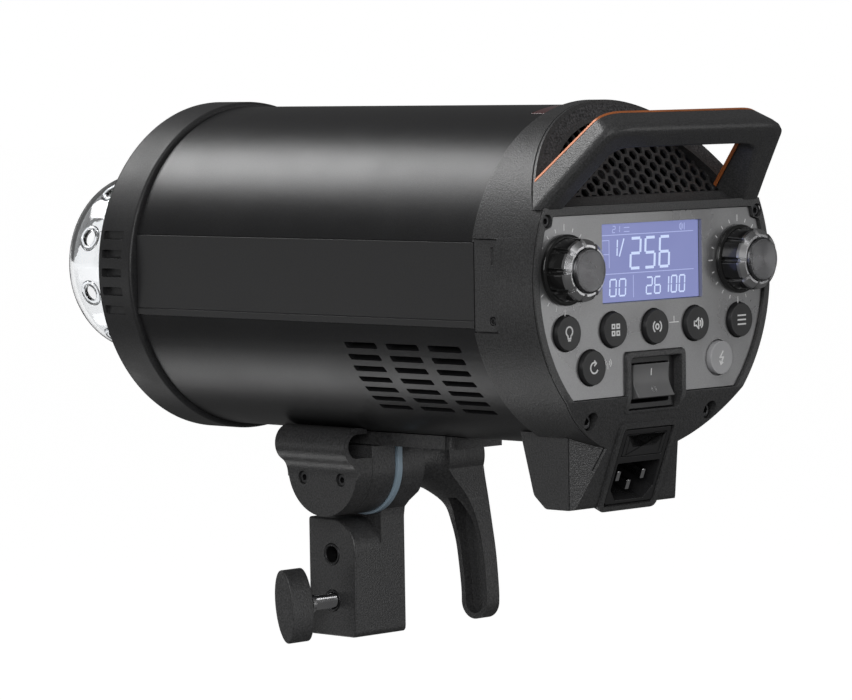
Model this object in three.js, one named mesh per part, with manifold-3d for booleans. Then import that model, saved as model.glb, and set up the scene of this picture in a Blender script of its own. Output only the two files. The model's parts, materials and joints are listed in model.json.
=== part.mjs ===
// Monolight studio strobe with its tilting stand bracket.
// Millimetres, +Z up. The flash tube faces -Y, the control panel faces +Y and +X is the
// operator's left. The origin is the centre of the stand socket's mouth, under the bracket.
import * as THREE from 'three';
import { mergeVertices } from 'three/addons/utils/BufferGeometryUtils.js';
import Module from 'manifold-3d';

const wasm = await Module();
wasm.setup();

// ---- driving dimensions -------------------------------------------------------------------
const GAP = 0.3;                 // clearance between neighbouring pieces
const FAR = 400;                 // reach of cutting blocks past the object

const AXIS_Z = 147.5;            // lamp axis above the socket mouth
const BARREL_R = 65;
const BARREL_INNER_R = 61;
const BARREL_FRONT = -57.4;
const BARREL_REAR = 127.4;
const RING_R = 67;
const RING_FRONT = -77.8;
const HOUSING_R = 66.8;
const HOUSING_INNER_R = 61;
const HOUSING_FRONT = 127.7;
const REAR_PLANE = 163.2;        // rim around the control panel
const PANEL_FACE = 161.85;
const PANEL_T = 1.7;

const HOOD_SLOPE = 0.55;         // the hood face leans forward going up
const HOOD_Y0 = 174.2;           // its y on the lamp axis
const LEDGE_DZ = 28;             // shelf between the hood face and the panel
const TAIL_SLOPE = 0.39;         // the face below the panel leans forward going down
const TAIL_Y0 = 180.5;
const TAIL_TOP_DZ = -44.4;

const FLAT_X = 63.3;             // flat side bands that carry the trim plates
const FLAT_TOP = 15.2;
const FLAT_BOTTOM = -17.2;
const TRIM_T = 0.9;
const COVER_REAR = 141.8;

const VENT_ROWS = 7;
const VENT_COLUMNS = 3;
const VENT_LENGTH = 16;
const VENT_PITCH_Y = 22.4;
const VENT_START_Y = 57;
const VENT_H = 3.9;
const VENT_FIRST_DEG = -24;
const VENT_PITCH_DEG = 4.85;

const TILT_Y = 6;                // tilt axis
const TILT_Z = 69;
const DISC_R = 19.6;
const WASHER_R = 20.6;
const STAND_SIDE = 26.6;         // square section of the stand block
const STAND_TOP = 47.6;
const STAND_REAR_ROUND = 13;
const SOCKET_R = 8.15;           // takes a 16 mm spigot
const SOCKET_DEPTH = 38;
const FORK_X0 = -14.8;
const FORK_X1 = -1.5;
const WASHER_X0 = -1.2;
const WASHER_X1 = 1.5;
const HEAD_X0 = 1.8;
const HEAD_X1 = 14.8;
const CLAMP_X0 = 15.1;
const CLAMP_X1 = 23.8;
const RAIL_HALF = 13.6;          // base plate under the barrel
const RAIL_BOTTOM = 78.4;
const RAIL_FRONT = -26;
const RAIL_REAR = 69.5;
const UMBRELLA_X = 23.4;
const UMBRELLA_Z = 78.3;
const UMBRELLA_R = 7.4;
const UMBRELLA_BORE_R = 4.8;
const SCREW_Z = 14.3;            // stand clamp screw
const SPARE_HOLE_Z = 33;

const DOME_R = 37.4;
const DOME_FRONT = -142.6;
const DOME_WALL = 1.8;
const SOCKET_PLATE_FRONT = -65.6;
const CATCH_DEG = -55;  // the release catch's place round the ring, from the top

const DIAL_X = 49.1;
const DIAL_DZ = 4.8;
const BUTTON_DZ = -18.6;
const BUTTON_X = [49, 23.4, 0, -23.4, -49];
const MODE_AT = [35.6, -32.1];
const TEST_AT = [-37.0, -32.5];
const BUTTON_R = 6.5;
const BUTTON_PROUD = 2;
const LCD_HALF = 28.4;
const LCD_TOP = 20.9;
const LCD_BOTTOM = -8.9;
const PANEL_TOP = 24.6;
const PANEL_BOTTOM = -43.8;
const PANEL_R = 63.6;
const TOP_SCREW = [59.5, 23.1];  // beside the lamp axis, above it
const LOW_SCREW = [33.8, -52.4];
const ROCKER_DZ = -39.7;
const ROCKER_HALF = [10.2, 6.4];
const ROCKER_TILT = 11.5;        // it rests pressed at the top
const ROCKER_PIVOT = 5.7;        // behind the rear plane
const BEZEL_HALF = [13.9, 9.7];
const BEZEL_SET_BACK = 3.8;
const BITE = [16.7, -27.4];      // the panel's cut-out round the switch

const INLET_DZ = -71.4;
const INLET_HALF = [13.4, 15.4];
const TAIL_TILT = Math.atan(TAIL_SLOPE);

// ---- colours ------------------------------------------------------------------------------
const COLOUR = {
  black: 0x1b1b1d, metal: 0x2a2a2c, gloss: 0x303034, steel: 0xa8a8aa, copper: 0xb5683c,
  blue: 0x9fb4c4, glass: 0xdfe8ee, screen: 0x8f9be0, board: 0x1f4a33, red: 0x6a1418,
  grey: 0x77777a, white: 0xe8e6e0,
};
const paint = (colour, roughness = 0.5, metalness = 0) =>
  new THREE.MeshStandardMaterial({ color: COLOUR[colour], roughness, metalness });

// ---- geometry helpers ---------------------------------------------------------------------
// Shared corners merged, slivers dropped, faces pointing out.
function weld(geometry) {
  const g = geometry.index ? geometry.toNonIndexed() : geometry.clone();
  for (const name of Object.keys(g.attributes)) {
    if (name !== 'position') g.deleteAttribute(name);
  }
  const merged = mergeVertices(g, 1e-4);
  const p = merged.attributes.position;
  const index = Array.from(merged.index.array);
  const kept = [];
  let volume = 0;
  const a = new THREE.Vector3(), b = new THREE.Vector3(), c = new THREE.Vector3();
  for (let i = 0; i < index.length; i += 3) {
    const [u, v, w] = index.slice(i, i + 3);
    if (u === v || v === w || u === w) continue;
    kept.push(u, v, w);
    volume += a.fromBufferAttribute(p, u)
      .dot(b.fromBufferAttribute(p, v).cross(c.fromBufferAttribute(p, w)));
  }
  if (volume < 0) kept.reverse();
  merged.setIndex(kept);
  return merged;
}

function solid(geometry) {
  const g = weld(geometry);
  return new wasm.Manifold(new wasm.Mesh({
    numProp: 3,
    vertProperties: new Float32Array(g.attributes.position.array),
    triVerts: new Uint32Array(g.index.array),
  }));
}

function shape3(manifold) {
  const mesh = manifold.getMesh();
  const g = new THREE.BufferGeometry();
  const points = new Float32Array(mesh.numVert * 3);
  for (let i = 0; i < mesh.numVert; i++) {
    for (let k = 0; k < 3; k++) points[3 * i + k] = mesh.vertProperties[mesh.numProp * i + k];
  }
  g.setAttribute('position', new THREE.BufferAttribute(points, 3));
  g.setIndex(new THREE.BufferAttribute(new Uint32Array(mesh.triVerts), 1));
  return g;
}

const cut = (body, ...tools) => tools.reduce((left, tool) => left.subtract(tool), body);
const join = (body, ...more) => more.reduce((left, piece) => left.add(piece), body);

function block(x0, x1, y0, y1, z0, z1) {
  const g = new THREE.BoxGeometry(x1 - x0, y1 - y0, z1 - z0);
  return solid(g.translate((x0 + x1) / 2, (y0 + y1) / 2, (z0 + z1) / 2));
}

// Rods along one axis between two stations.
function rodX(r, x0, x1, y, z, sides = 24) {
  const g = new THREE.CylinderGeometry(r, r, x1 - x0, sides).rotateZ(Math.PI / 2);
  return solid(g.translate((x0 + x1) / 2, y, z));
}
function rodY(r, y0, y1, x, z, sides = 24, r1 = r) {
  const g = new THREE.CylinderGeometry(r1, r, y1 - y0, sides);
  return solid(g.translate(x, (y0 + y1) / 2, z));
}
function rodZ(r, z0, z1, x, y, sides = 24) {
  const g = new THREE.CylinderGeometry(r, r, z1 - z0, sides).rotateX(Math.PI / 2);
  return solid(g.translate(x, y, (z0 + z1) / 2));
}

// A profile of [radius, y] corners turned about the lamp's own axis direction.
function turned(profile, sides, x = 0, z = AXIS_Z) {
  const points = profile.map(([r, y]) => new THREE.Vector2(r, y));
  return solid(new THREE.LatheGeometry(points, sides).translate(x, 0, z));
}

// The same about a line along X. The profile's [radius, x] corners run towards -X.
function turnedX(profile, sides, y, z) {
  const points = profile.map(([r, x]) => new THREE.Vector2(r, -x));
  const g = new THREE.LatheGeometry(points, sides);
  return solid(g.rotateZ(Math.PI / 2).translate(0, y, z));
}

function outline(points) {
  return new THREE.Shape(points.map(([u, v]) => new THREE.Vector2(u, v)));
}
// An outline of [y, z] corners carried along X, one of [x, z] along Y, one of [x, y] along Z.
function alongX(shape, x0, x1, curve = 8) {
  const g = new THREE.ExtrudeGeometry(shape, { depth: x1 - x0, bevelEnabled: false,
    curveSegments: curve });
  const turn = new THREE.Matrix4().set(0, 0, 1, x0, 1, 0, 0, 0, 0, 1, 0, 0, 0, 0, 0, 1);
  return solid(g.applyMatrix4(turn));
}
function alongY(shape, y0, y1, curve = 8) {
  const g = new THREE.ExtrudeGeometry(shape, { depth: y1 - y0, bevelEnabled: false,
    curveSegments: curve });
  const turn = new THREE.Matrix4().set(1, 0, 0, 0, 0, 0, -1, y1, 0, 1, 0, 0, 0, 0, 0, 1);
  return solid(g.applyMatrix4(turn));
}
function alongZ(shape, z0, z1) {
  const g = new THREE.ExtrudeGeometry(shape, { depth: z1 - z0, bevelEnabled: false });
  return solid(g.translate(0, 0, z0));
}

// Rings of matching corners skinned into one closed body with flat ends.
function loft(rings) {
  const n = rings[0].length;
  const points = rings.flat().flat();
  const faces = [];
  for (let i = 0; i + 1 < rings.length; i++) {
    for (let k = 0; k < n; k++) {
      const a = i * n + k;
      const b = i * n + ((k + 1) % n);
      faces.push(a, b, b + n, a, b + n, a + n);
    }
  }
  const last = (rings.length - 1) * n;
  for (let k = 1; k + 1 < n; k++) {
    faces.push(0, k + 1, k);
    faces.push(last, last + k, last + k + 1);
  }
  const g = new THREE.BufferGeometry();
  g.setAttribute('position', new THREE.Float32BufferAttribute(points, 3));
  g.setIndex(faces);
  return solid(g);
}

// Turns a body built about the origin so that +Y is the tail face's outward normal.
const onTail = (manifold, dz) => {
  const y = TAIL_Y0 + TAIL_SLOPE * dz;
  const g = shape3(manifold).rotateX(-TAIL_TILT).translate(0, y, AXIS_Z + dz);
  return solid(g);
};

const lampHead = new THREE.Group();
const standBracket = new THREE.Group();

function add(group, name, manifold, material) {
  const mesh = new THREE.Mesh(shape3(manifold), material);
  mesh.name = name;
  group.add(mesh);
}

// ---- stand bracket ------------------------------------------------------------------------
function makeStandFork() {
  const half = STAND_SIDE / 2;
  const side = new THREE.Shape();
  side.moveTo(-half, 0);
  side.lineTo(half, 0);
  side.lineTo(half, STAND_TOP - STAND_REAR_ROUND);
  side.absarc(half - STAND_REAR_ROUND, STAND_TOP - STAND_REAR_ROUND, STAND_REAR_ROUND,
    0, Math.PI / 2, false);
  side.lineTo(-half, STAND_TOP);
  side.closePath();
  const lower = alongX(side, FORK_X0 + 1.5, half, 6);
  const leg = new THREE.Shape();
  leg.moveTo(-half, 0);
  leg.lineTo(half, 0);
  leg.lineTo(half, TILT_Z - 20);
  leg.quadraticCurveTo(half + 1, TILT_Z - 15.5, TILT_Y + DISC_R * 0.72, TILT_Z - DISC_R * 0.69);
  leg.absarc(TILT_Y, TILT_Z, DISC_R, -0.76, Math.PI, false);
  leg.lineTo(-half, TILT_Z);
  leg.closePath();
  const fork = alongX(leg, FORK_X0, FORK_X1, 14);
  const socket = rodZ(SOCKET_R, -1, SOCKET_DEPTH, 0, 0, 32);
  const bolt = rodX(4.3, FORK_X0 - 1, FORK_X1 + 1, TILT_Y, TILT_Z);
  const holes = [SCREW_Z, SPARE_HOLE_Z].map((z) => rodX(4.5, 5, half + 1, 0, z));
  add(standBracket, 'stand_fork', cut(join(lower, fork), socket, bolt, ...holes),
    paint('black', 0.55, 0.4));
  for (const [name, z] of [['clamp_insert', SCREW_Z], ['spare_insert', SPARE_HOLE_Z]]) {
    const sleeve = rodX(4.35, SOCKET_R + 0.6, half + 0.2, 0, z);
    add(standBracket, name, cut(sleeve, rodX(3.2, 5, half + 2, 0, z, 20)),
      paint('metal', 0.35, 0.8));
  }
}

function makeClampKnob() {
  const half = STAND_SIDE / 2;
  const back = half + 15.6;
  const face = back + 11.5;
  const screw = join(rodX(2.95, SOCKET_R - 0.6, back + 5, 0, SCREW_Z, 20),
    rodX(4.2, back - 3.2, back - 1, 0, SCREW_Z, 20));
  add(standBracket, 'clamp_screw', screw, paint('steel', 0.2, 1));
  const oval = new THREE.Shape();
  oval.absellipse(0, 0, 5.3, 14.7, 0, Math.PI * 2, false, 0);
  const g = shape3(alongX(oval, back, face, 14));
  g.rotateX(THREE.MathUtils.degToRad(7.5)).translate(0, 0, SCREW_Z);
  add(standBracket, 'clamp_knob', cut(solid(g), rodX(3.25, back - 1, back + 5.3, 0, SCREW_Z, 20)),
    paint('black', 0.5));
}

// Arm centre line and width at stations down from the tilt axis.
const LEVER_HUB_R = 13.3;
const LEVER_X0 = -56.4;
const LEVER_X1 = -48.6;
const LEVER_NECK_X = -18;        // the hub narrows here to pass under the lamp's base plate
function makeTiltLever() {
  const stations = [[0.2, -1, 11.8], [2.2, -8, 10.9], [8.3, -17, 6.6], [9.75, -28, 7.15],
    [11.5, -40, 7.4], [12.95, -54, 7.25], [13.1, -59.8, 7.2]];
  const arm = new THREE.Shape();
  const front = stations.map(([y, z, half]) => [TILT_Y + y - half, TILT_Z + z]);
  const rear = stations.map(([y, z, half]) => [TILT_Y + y + half, TILT_Z + z]);
  arm.moveTo(...front[0]);
  arm.splineThru(front.slice(1).map(([u, v]) => new THREE.Vector2(u, v)));
  const [yEnd, zEnd, rEnd] = stations.at(-1);
  arm.absarc(TILT_Y + yEnd, TILT_Z + zEnd, rEnd, Math.PI, Math.PI * 2, false);
  arm.splineThru(rear.slice(0, -1).reverse().map(([u, v]) => new THREE.Vector2(u, v)));
  arm.closePath();
  // Seen from behind, the arm's edge curves out from under the hub and then hangs straight.
  const web = new THREE.Shape();
  web.moveTo(LEVER_X0 - 1, TILT_Z + 14);
  web.lineTo(-48, TILT_Z + 14);
  web.lineTo(-47, TILT_Z - 2);
  web.lineTo(-42, TILT_Z - 8);
  web.lineTo(-37, TILT_Z - 12.4);
  web.splineThru([[-38.6, -15.6], [-41.6, -18.8], [-45, -23.4], [-47.6, -31], [-48.6, -42],
    [LEVER_X1 - 0.3, -54]].map(([x, z]) => new THREE.Vector2(x, TILT_Z + z)));
  web.lineTo(LEVER_X1 - 0.3, TILT_Z - 70);
  web.lineTo(LEVER_X0 - 1, TILT_Z - 70);
  web.closePath();
  const handle = alongX(arm, LEVER_X0, -36, 4).intersect(alongY(web, -20, 60, 4));
  const hub = turnedX([[0, FORK_X0 - GAP], [8.9, FORK_X0 - GAP], [8.9, LEVER_NECK_X],
    [9.6, -24], [10.9, -29.5], [12.4, -34], [LEVER_HUB_R, -38], [LEVER_HUB_R, LEVER_X0 + 2],
    [LEVER_HUB_R - 2, LEVER_X0], [0, LEVER_X0]], 36, TILT_Y, TILT_Z);
  const groove = new THREE.Shape();
  groove.moveTo(TILT_Y + 6.6, TILT_Z - 17);
  groove.lineTo(TILT_Y + 5, TILT_Z - 28);
  groove.lineTo(TILT_Y + 6.5, TILT_Z - 40);
  groove.absarc(TILT_Y + yEnd, TILT_Z + zEnd, rEnd - 2.4, Math.PI, Math.PI * 2, false);
  groove.lineTo(TILT_Y + 16.5, TILT_Z - 40);
  groove.lineTo(TILT_Y + 14.5, TILT_Z - 28);
  groove.lineTo(TILT_Y + 10, TILT_Z - 17);
  groove.closePath();
  const bolt = rodX(4.3, FORK_X0 - 20, FORK_X0 + 1, TILT_Y, TILT_Z);
  add(standBracket, 'tilt_lever', cut(join(handle, hub), bolt,
    alongX(groove, LEVER_X0 + 3.2, -20, 6)), paint('black', 0.5, 0.2));
}

// ---- tilt head and rail under the lamp ----------------------------------------------------
// Round below the tilt axis, straight sides above it.
function dShape(radius, top) {
  const d = new THREE.Shape();
  d.moveTo(TILT_Y - radius, top);
  d.lineTo(TILT_Y - radius, TILT_Z);
  d.absarc(TILT_Y, TILT_Z, radius, Math.PI, Math.PI * 2, false);
  d.lineTo(TILT_Y + radius, top);
  d.closePath();
  return d;
}

const WELL_X0 = FORK_X0 - 0.9;
const WELL_X1 = 0.6;
const WELL_R = DISC_R + 0.8;
const WELL_WALL = 1.7;
// The hollow that the fork swings in: its disc, and its leg at the steepest downward tilt.
function wellSpace(grow, x0, x1) {
  const disc = rodX(WELL_R + grow, x0, x1, TILT_Y, TILT_Z, 48);
  const half = STAND_SIDE / 2;
  const g = new THREE.BoxGeometry(x1 - x0, STAND_SIDE + 2 * grow + 1, 40);
  g.translate((x0 + x1) / 2, -TILT_Y, -20);
  g.rotateX(THREE.MathUtils.degToRad(-60)).translate(0, TILT_Y, TILT_Z);
  return join(disc, cut(solid(g), block(-FAR, FAR, half, FAR, -FAR, FAR)));
}

function makeTiltHead() {
  const bolt = rodX(4.3, -30, 30, TILT_Y, TILT_Z);
  const nut = rodX(7.4, HEAD_X1 - 5.2, HEAD_X1 + 1, TILT_Y, TILT_Z, 6);
  add(lampHead, 'friction_washer',
    cut(alongX(dShape(WASHER_R, RAIL_BOTTOM - GAP), WASHER_X0, WASHER_X1, 24), bolt),
    paint('blue', 0.45));
  add(lampHead, 'tilt_head',
    cut(alongX(dShape(DISC_R, RAIL_BOTTOM - GAP), HEAD_X0, HEAD_X1, 24), bolt, nut,
      ...clampScrewHoles(2.3, HEAD_X1 - 8)), paint('black', 0.5, 0.3));
  add(lampHead, 'tilt_bolt',
    join(rodX(4, FORK_X0 - 19, HEAD_X1 - 3, TILT_Y, TILT_Z, 20),
      rodX(7, HEAD_X1 - 4.9, HEAD_X1 - 0.3, TILT_Y, TILT_Z, 6)), paint('steel', 0.3, 1));
}

const CLAMP_SCREW_Y = [-10.9 + TILT_Y, 10.6 + TILT_Y];
const CLAMP_SCREW_Z = TILT_Z - 4.4;
function clampScrewHoles(r, x0) {
  return CLAMP_SCREW_Y.map((y) => rodX(r, x0, CLAMP_X1 + 1, y, CLAMP_SCREW_Z, 16));
}

function makeUmbrellaClamp() {
  const y0 = TILT_Y - DISC_R;
  const y1 = TILT_Y + DISC_R;
  const floorZ = UMBRELLA_Z - UMBRELLA_BORE_R;
  const plate = alongX(dShape(DISC_R, floorZ - 0.2), CLAMP_X0, CLAMP_X1, 24);
  const tube = rodY(UMBRELLA_R, y0, y1, UMBRELLA_X, UMBRELLA_Z, 32);
  const web = block(CLAMP_X0 + 2.6, UMBRELLA_X + 3, y0, y1, floorZ - 4, floorZ + 1);
  const roof = block(CLAMP_X0 + 2.6, UMBRELLA_X, y0, y1,
    UMBRELLA_Z + UMBRELLA_BORE_R, UMBRELLA_Z + UMBRELLA_R - 0.6);
  const bore = rodY(UMBRELLA_BORE_R, y0 - 1, y1 + 1, UMBRELLA_X, UMBRELLA_Z);
  const throat = block(CLAMP_X0 - 1, UMBRELLA_X, y0 - 1, y1 + 1,
    floorZ, UMBRELLA_Z + UMBRELLA_BORE_R);
  const barrel = rodY(BARREL_R + 0.4, y0 - 1, y1 + 1, 0, AXIS_Z, 60);
  const sinks = CLAMP_SCREW_Y.map((y) => rodX(2.7, CLAMP_X1 - 4, CLAMP_X1 + 1, y,
    CLAMP_SCREW_Z, 20));
  add(lampHead, 'umbrella_clamp',
    cut(join(plate, tube, web, roof), bore, throat, barrel, ...sinks,
      ...clampScrewHoles(2.3, CLAMP_X0 - 1)), paint('black', 0.5, 0.3));
  CLAMP_SCREW_Y.forEach((y, i) => {
    const socket = rodX(1.2, CLAMP_X1 - 2.6, CLAMP_X1 + 1, y, CLAMP_SCREW_Z, 6);
    add(lampHead, `clamp_plate_screw_${i + 1}`,
      cut(join(rodX(2, HEAD_X1 - 7, CLAMP_X1 - 2, y, CLAMP_SCREW_Z, 16),
        rodX(2.4, CLAMP_X1 - 3.7, CLAMP_X1 - 0.5, y, CLAMP_SCREW_Z, 20)), socket),
      paint('metal', 0.35, 0.8));
  });
}

function makeRail() {
  const bar = block(-RAIL_HALF, RAIL_HALF, RAIL_FRONT, RAIL_REAR, RAIL_BOTTOM, RAIL_BOTTOM + 9);
  const skin = rodY(BARREL_R + GAP, RAIL_FRONT - 1, RAIL_REAR + 1, 0, AXIS_Z, 60);
  const shell = cut(wellSpace(WELL_WALL, WELL_X0 - WELL_WALL, WELL_X1 + WELL_WALL),
    block(-FAR, FAR, -FAR, FAR, -FAR, RAIL_BOTTOM));
  const corner = rodZ(2.6, 70, 90, RAIL_HALF, RAIL_REAR - 2.3, 16);
  add(lampHead, 'base_plate',
    cut(join(cut(bar, skin), shell), wellSpace(0, WELL_X0, WELL_X1), corner),
    paint('black', 0.5, 0.3));
}

// ---- barrel -------------------------------------------------------------------------------
function flatCut(x, y0, y1, top, bottom) {
  return [block(x, FAR, y0, y1, AXIS_Z + bottom, AXIS_Z + top),
    block(-FAR, -x, y0, y1, AXIS_Z + bottom, AXIS_Z + top)];
}

function ventSlots() {
  const slots = [];
  for (let row = 0; row < VENT_ROWS; row++) {
    const angle = THREE.MathUtils.degToRad(VENT_FIRST_DEG - row * VENT_PITCH_DEG);
    for (let column = 0; column < VENT_COLUMNS; column++) {
      const y = VENT_START_Y + column * VENT_PITCH_Y;
      for (const side of [0, Math.PI]) {
        const turn = side === 0 ? -angle : side + angle;
        const g = new THREE.BoxGeometry(12, VENT_LENGTH, VENT_H);
        g.translate(BARREL_R - 2, y + VENT_LENGTH / 2, 0).rotateY(turn);
        slots.push(solid(g.translate(0, 0, AXIS_Z)));
      }
    }
  }
  return slots;
}

function makeBarrel() {
  const tube = turned([[BARREL_INNER_R, BARREL_FRONT], [BARREL_R, BARREL_FRONT],
    [BARREL_R, BARREL_REAR], [BARREL_INNER_R, BARREL_REAR], [BARREL_INNER_R, BARREL_FRONT]], 60);
  const pocket = flatCut(FLAT_X - TRIM_T - 0.1, BARREL_FRONT - 1, BARREL_REAR + 1,
    FLAT_TOP, FLAT_BOTTOM);
  const well = wellSpace(WELL_WALL + GAP, WELL_X0 - WELL_WALL - GAP, WELL_X1 + WELL_WALL + GAP);
  add(lampHead, 'barrel_housing', cut(tube, ...pocket, well, ...ventSlots(), sensorPocket(0)),
    paint('metal', 0.45, 0.7));
  for (const [name, side] of [['side_trim_left', 1], ['side_trim_right', -1]]) {
    const x = [side * (FLAT_X - TRIM_T), side * FLAT_X].sort((a, b) => a - b);
    add(lampHead, name, block(x[0], x[1], BARREL_FRONT + 0.2, BARREL_REAR - 0.1,
      AXIS_Z + FLAT_BOTTOM + GAP, AXIS_Z + FLAT_TOP - GAP), paint('metal', 0.4, 0.4));
  }
}

const SENSOR_Y = [116.5, 127.2];
function sensorPocket(inset) {
  const outer = turned([[BARREL_R - 1.8 + inset, SENSOR_Y[0] + inset],
    [BARREL_R + (inset ? 0.1 : 3), SENSOR_Y[0] + inset],
    [BARREL_R + (inset ? 0.1 : 3), SENSOR_Y[1] + (inset ? 0 : 3)],
    [BARREL_R - 1.8 + inset, SENSOR_Y[1] + (inset ? 0 : 3)],
    [BARREL_R - 1.8 + inset, SENSOR_Y[0] + inset]], 60);
  const half = 20 - inset;
  return outer.intersect(block(-half, half, 100, 140, AXIS_Z + 40, AXIS_Z + 90));
}

// ---- front: ring, bayonet, lamps and dome -------------------------------------------------
// A block on the ring's far side, between two distances from the lamp axis.
function catchBlock(half, y0, y1, r0, r1) {
  const g = new THREE.BoxGeometry(2 * half, y1 - y0, r1 - r0);
  g.translate(0, (y0 + y1) / 2, (r0 + r1) / 2).rotateY(THREE.MathUtils.degToRad(CATCH_DEG));
  return solid(g.translate(0, 0, AXIS_Z));
}

function makeFront() {
  const back = BARREL_FRONT - GAP;
  const flange = SOCKET_PLATE_FRONT - 1.1;
  const ring = turned([[61.2, flange], [61.2, RING_FRONT + 1], [62.2, RING_FRONT],
    [RING_R - 1.4, RING_FRONT], [RING_R, RING_FRONT + 1.4], [RING_R, back - 1.2],
    [RING_R - 1.2, back], [61, back], [61, flange + 3.4], [46, flange + 3.4], [46, flange],
    [61.2, flange]], 60);
  const notches = [];
  for (let i = -2; i <= 2; i++) {
    const z = AXIS_Z - 0.5 + i * 7.5;
    notches.push(block(RING_R - 3.2, FAR, -74.8, -63.2, z - 1.8, z + 1.8));
    notches.push(block(-FAR, 3.2 - RING_R, -74.8, -63.2, z - 1.8, z + 1.8));
  }
  const slider = catchBlock(4.8, -72.8, -60, 60, 70);
  add(lampHead, 'front_ring', cut(ring, ...notches, slider), paint('black', 0.5, 0.1));
  const face = flange - GAP;
  const plate = turned([[47, face - 3.6], [60.9, face - 3.6], [60.9, face], [47, face],
    [47, face - 3.6]], 60);
  const lugs = [0, 1, 2].map((i) => {
    const g = new THREE.BoxGeometry(9, 30, 18).translate(50, face, 0);
    g.rotateY(Math.PI / 2 + i * Math.PI * 2 / 3);
    return solid(g.translate(0, 0, AXIS_Z));
  });
  add(lampHead, 'bayonet_ring', cut(plate, ...lugs), paint('steel', 0.35, 0.9));
  const button = join(catchBlock(4.4, -72.5, -63.5, 62, 67.4),
    catchBlock(2.6, -70.6, -65.4, 67, 69.4));
  add(lampHead, 'mount_release', button, paint('black', 0.5));
  const seat = turned([[0, SOCKET_PLATE_FRONT], [45.6, SOCKET_PLATE_FRONT], [45.6, -60],
    [0, -60], [0, SOCKET_PLATE_FRONT]], 48);
  add(lampHead, 'lamp_socket', seat, paint('white', 0.6));
  const start = SOCKET_PLATE_FRONT - GAP;
  const arcSteps = 4;
  const rise = 20;
  const arcOf = (r, h, front) => Array.from({ length: arcSteps + 1 }, (_, i) => {
    const a = (Math.PI / 2) * (i / arcSteps);
    return [Math.max(r * Math.cos(a) ** 0.7, 0), front + h - h * Math.sin(a)];
  });
  const outer = arcOf(DOME_R, rise, DOME_FRONT);
  const inner = arcOf(DOME_R - DOME_WALL, rise - DOME_WALL, DOME_FRONT + DOME_WALL).reverse();
  outer[arcSteps][0] = 0;
  inner[0][0] = 0;
  const jar = turned([[DOME_R - DOME_WALL, start], [DOME_R, start], ...outer, ...inner,
    [DOME_R - DOME_WALL, start]], 32);
  const ports = DOME_PORTS.map((deg) => {
    const g = new THREE.CylinderGeometry(3.9, 3.9, 20, 8).rotateZ(Math.PI / 2);
    g.translate(DOME_R, DOME_PORT_Y, 0).rotateY(THREE.MathUtils.degToRad(-deg));
    return solid(g.translate(0, 0, AXIS_Z));
  });
  add(lampHead, 'glass_dome', cut(jar, ...ports), paint('glass', 0.05));
  const hoopY = -112;
  const hoop = solid(new THREE.TorusGeometry(23, 3.6, 10, 40).rotateX(Math.PI / 2)
    .translate(0, hoopY, AXIS_Z));
  add(lampHead, 'flash_tube', join(hoop, rodY(3.2, hoopY, start, 23, AXIS_Z, 12),
    rodY(3.2, hoopY, start, -23, AXIS_Z, 12)), paint('glass', 0.1));
  add(lampHead, 'modelling_lamp', turned([[0, start], [13, start], [13, -78], [11, -84],
    [7, -101], [0, -104], [0, start]], 24), paint('white', 0.3));
}
const DOME_PORT_Y = -118;
const DOME_PORTS = Array.from({ length: 10 }, (_, i) => 18 + 36 * i);  // degrees round the dome

// ---- rear housing, grille and handle ------------------------------------------------------
const hoodY = (dz) => HOOD_Y0 - HOOD_SLOPE * dz;
const tailY = (dz) => TAIL_Y0 + TAIL_SLOPE * dz;
// Side view of the housing, drawn inwards by a wall's thickness.
function housingSide(inset, top = 75) {
  return outline([[HOUSING_FRONT - (inset ? 1 : 0), -top], [tailY(-top) - inset, -top],
    [REAR_PLANE - inset, TAIL_TOP_DZ - inset * 0.2], [REAR_PLANE - inset, LEDGE_DZ - inset],
    [hoodY(LEDGE_DZ) - inset * 1.1, LEDGE_DZ - inset], [hoodY(top) - inset * 1.1, top],
    [HOUSING_FRONT - (inset ? 1 : 0), top]].map(([y, dz]) => [y, AXIS_Z + dz]));
}

const GRILLE_R = 59.5;
const GRILLE_LOW = 31;
function grilleSpace(inset, y0, y1) {
  const low = Math.asin((GRILLE_LOW + inset) / (GRILLE_R - inset));
  const half = new THREE.Shape();
  half.absarc(0, AXIS_Z, GRILLE_R - inset, low, Math.PI - low, false);
  half.closePath();
  return alongY(half, y0, y1, 20);
}

function panelOutline(inset) {
  const r = PANEL_R - inset;
  const top = PANEL_TOP - inset;
  const low = PANEL_BOTTOM + inset;
  const notch = 3.6 + inset;
  const [sx, sz] = TOP_SCREW;
  const arc = (a0, a1, steps) => Array.from({ length: steps + 1 }, (_, i) => {
    const a = a0 + (a1 - a0) * (i / steps);
    return [r * Math.cos(a), r * Math.sin(a)];
  });
  const xTop = sx - notch;
  const aTop = Math.asin((sz - notch) / r);
  const aLow = Math.asin(low / r);
  const bite = BITE[0] + inset;
  const biteTop = BITE[1] + Math.min(inset, 0.9);
  const right = [[bite, biteTop], [bite, low], ...arc(aLow, aTop, 8),
    [sx - notch * 0.7, sz - notch * 0.7], [xTop, top]];
  const left = right.map(([x, dz]) => [-x, dz]).reverse();
  return outline([...right, ...left].map(([x, dz]) => [x, AXIS_Z + dz]));
}

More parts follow.
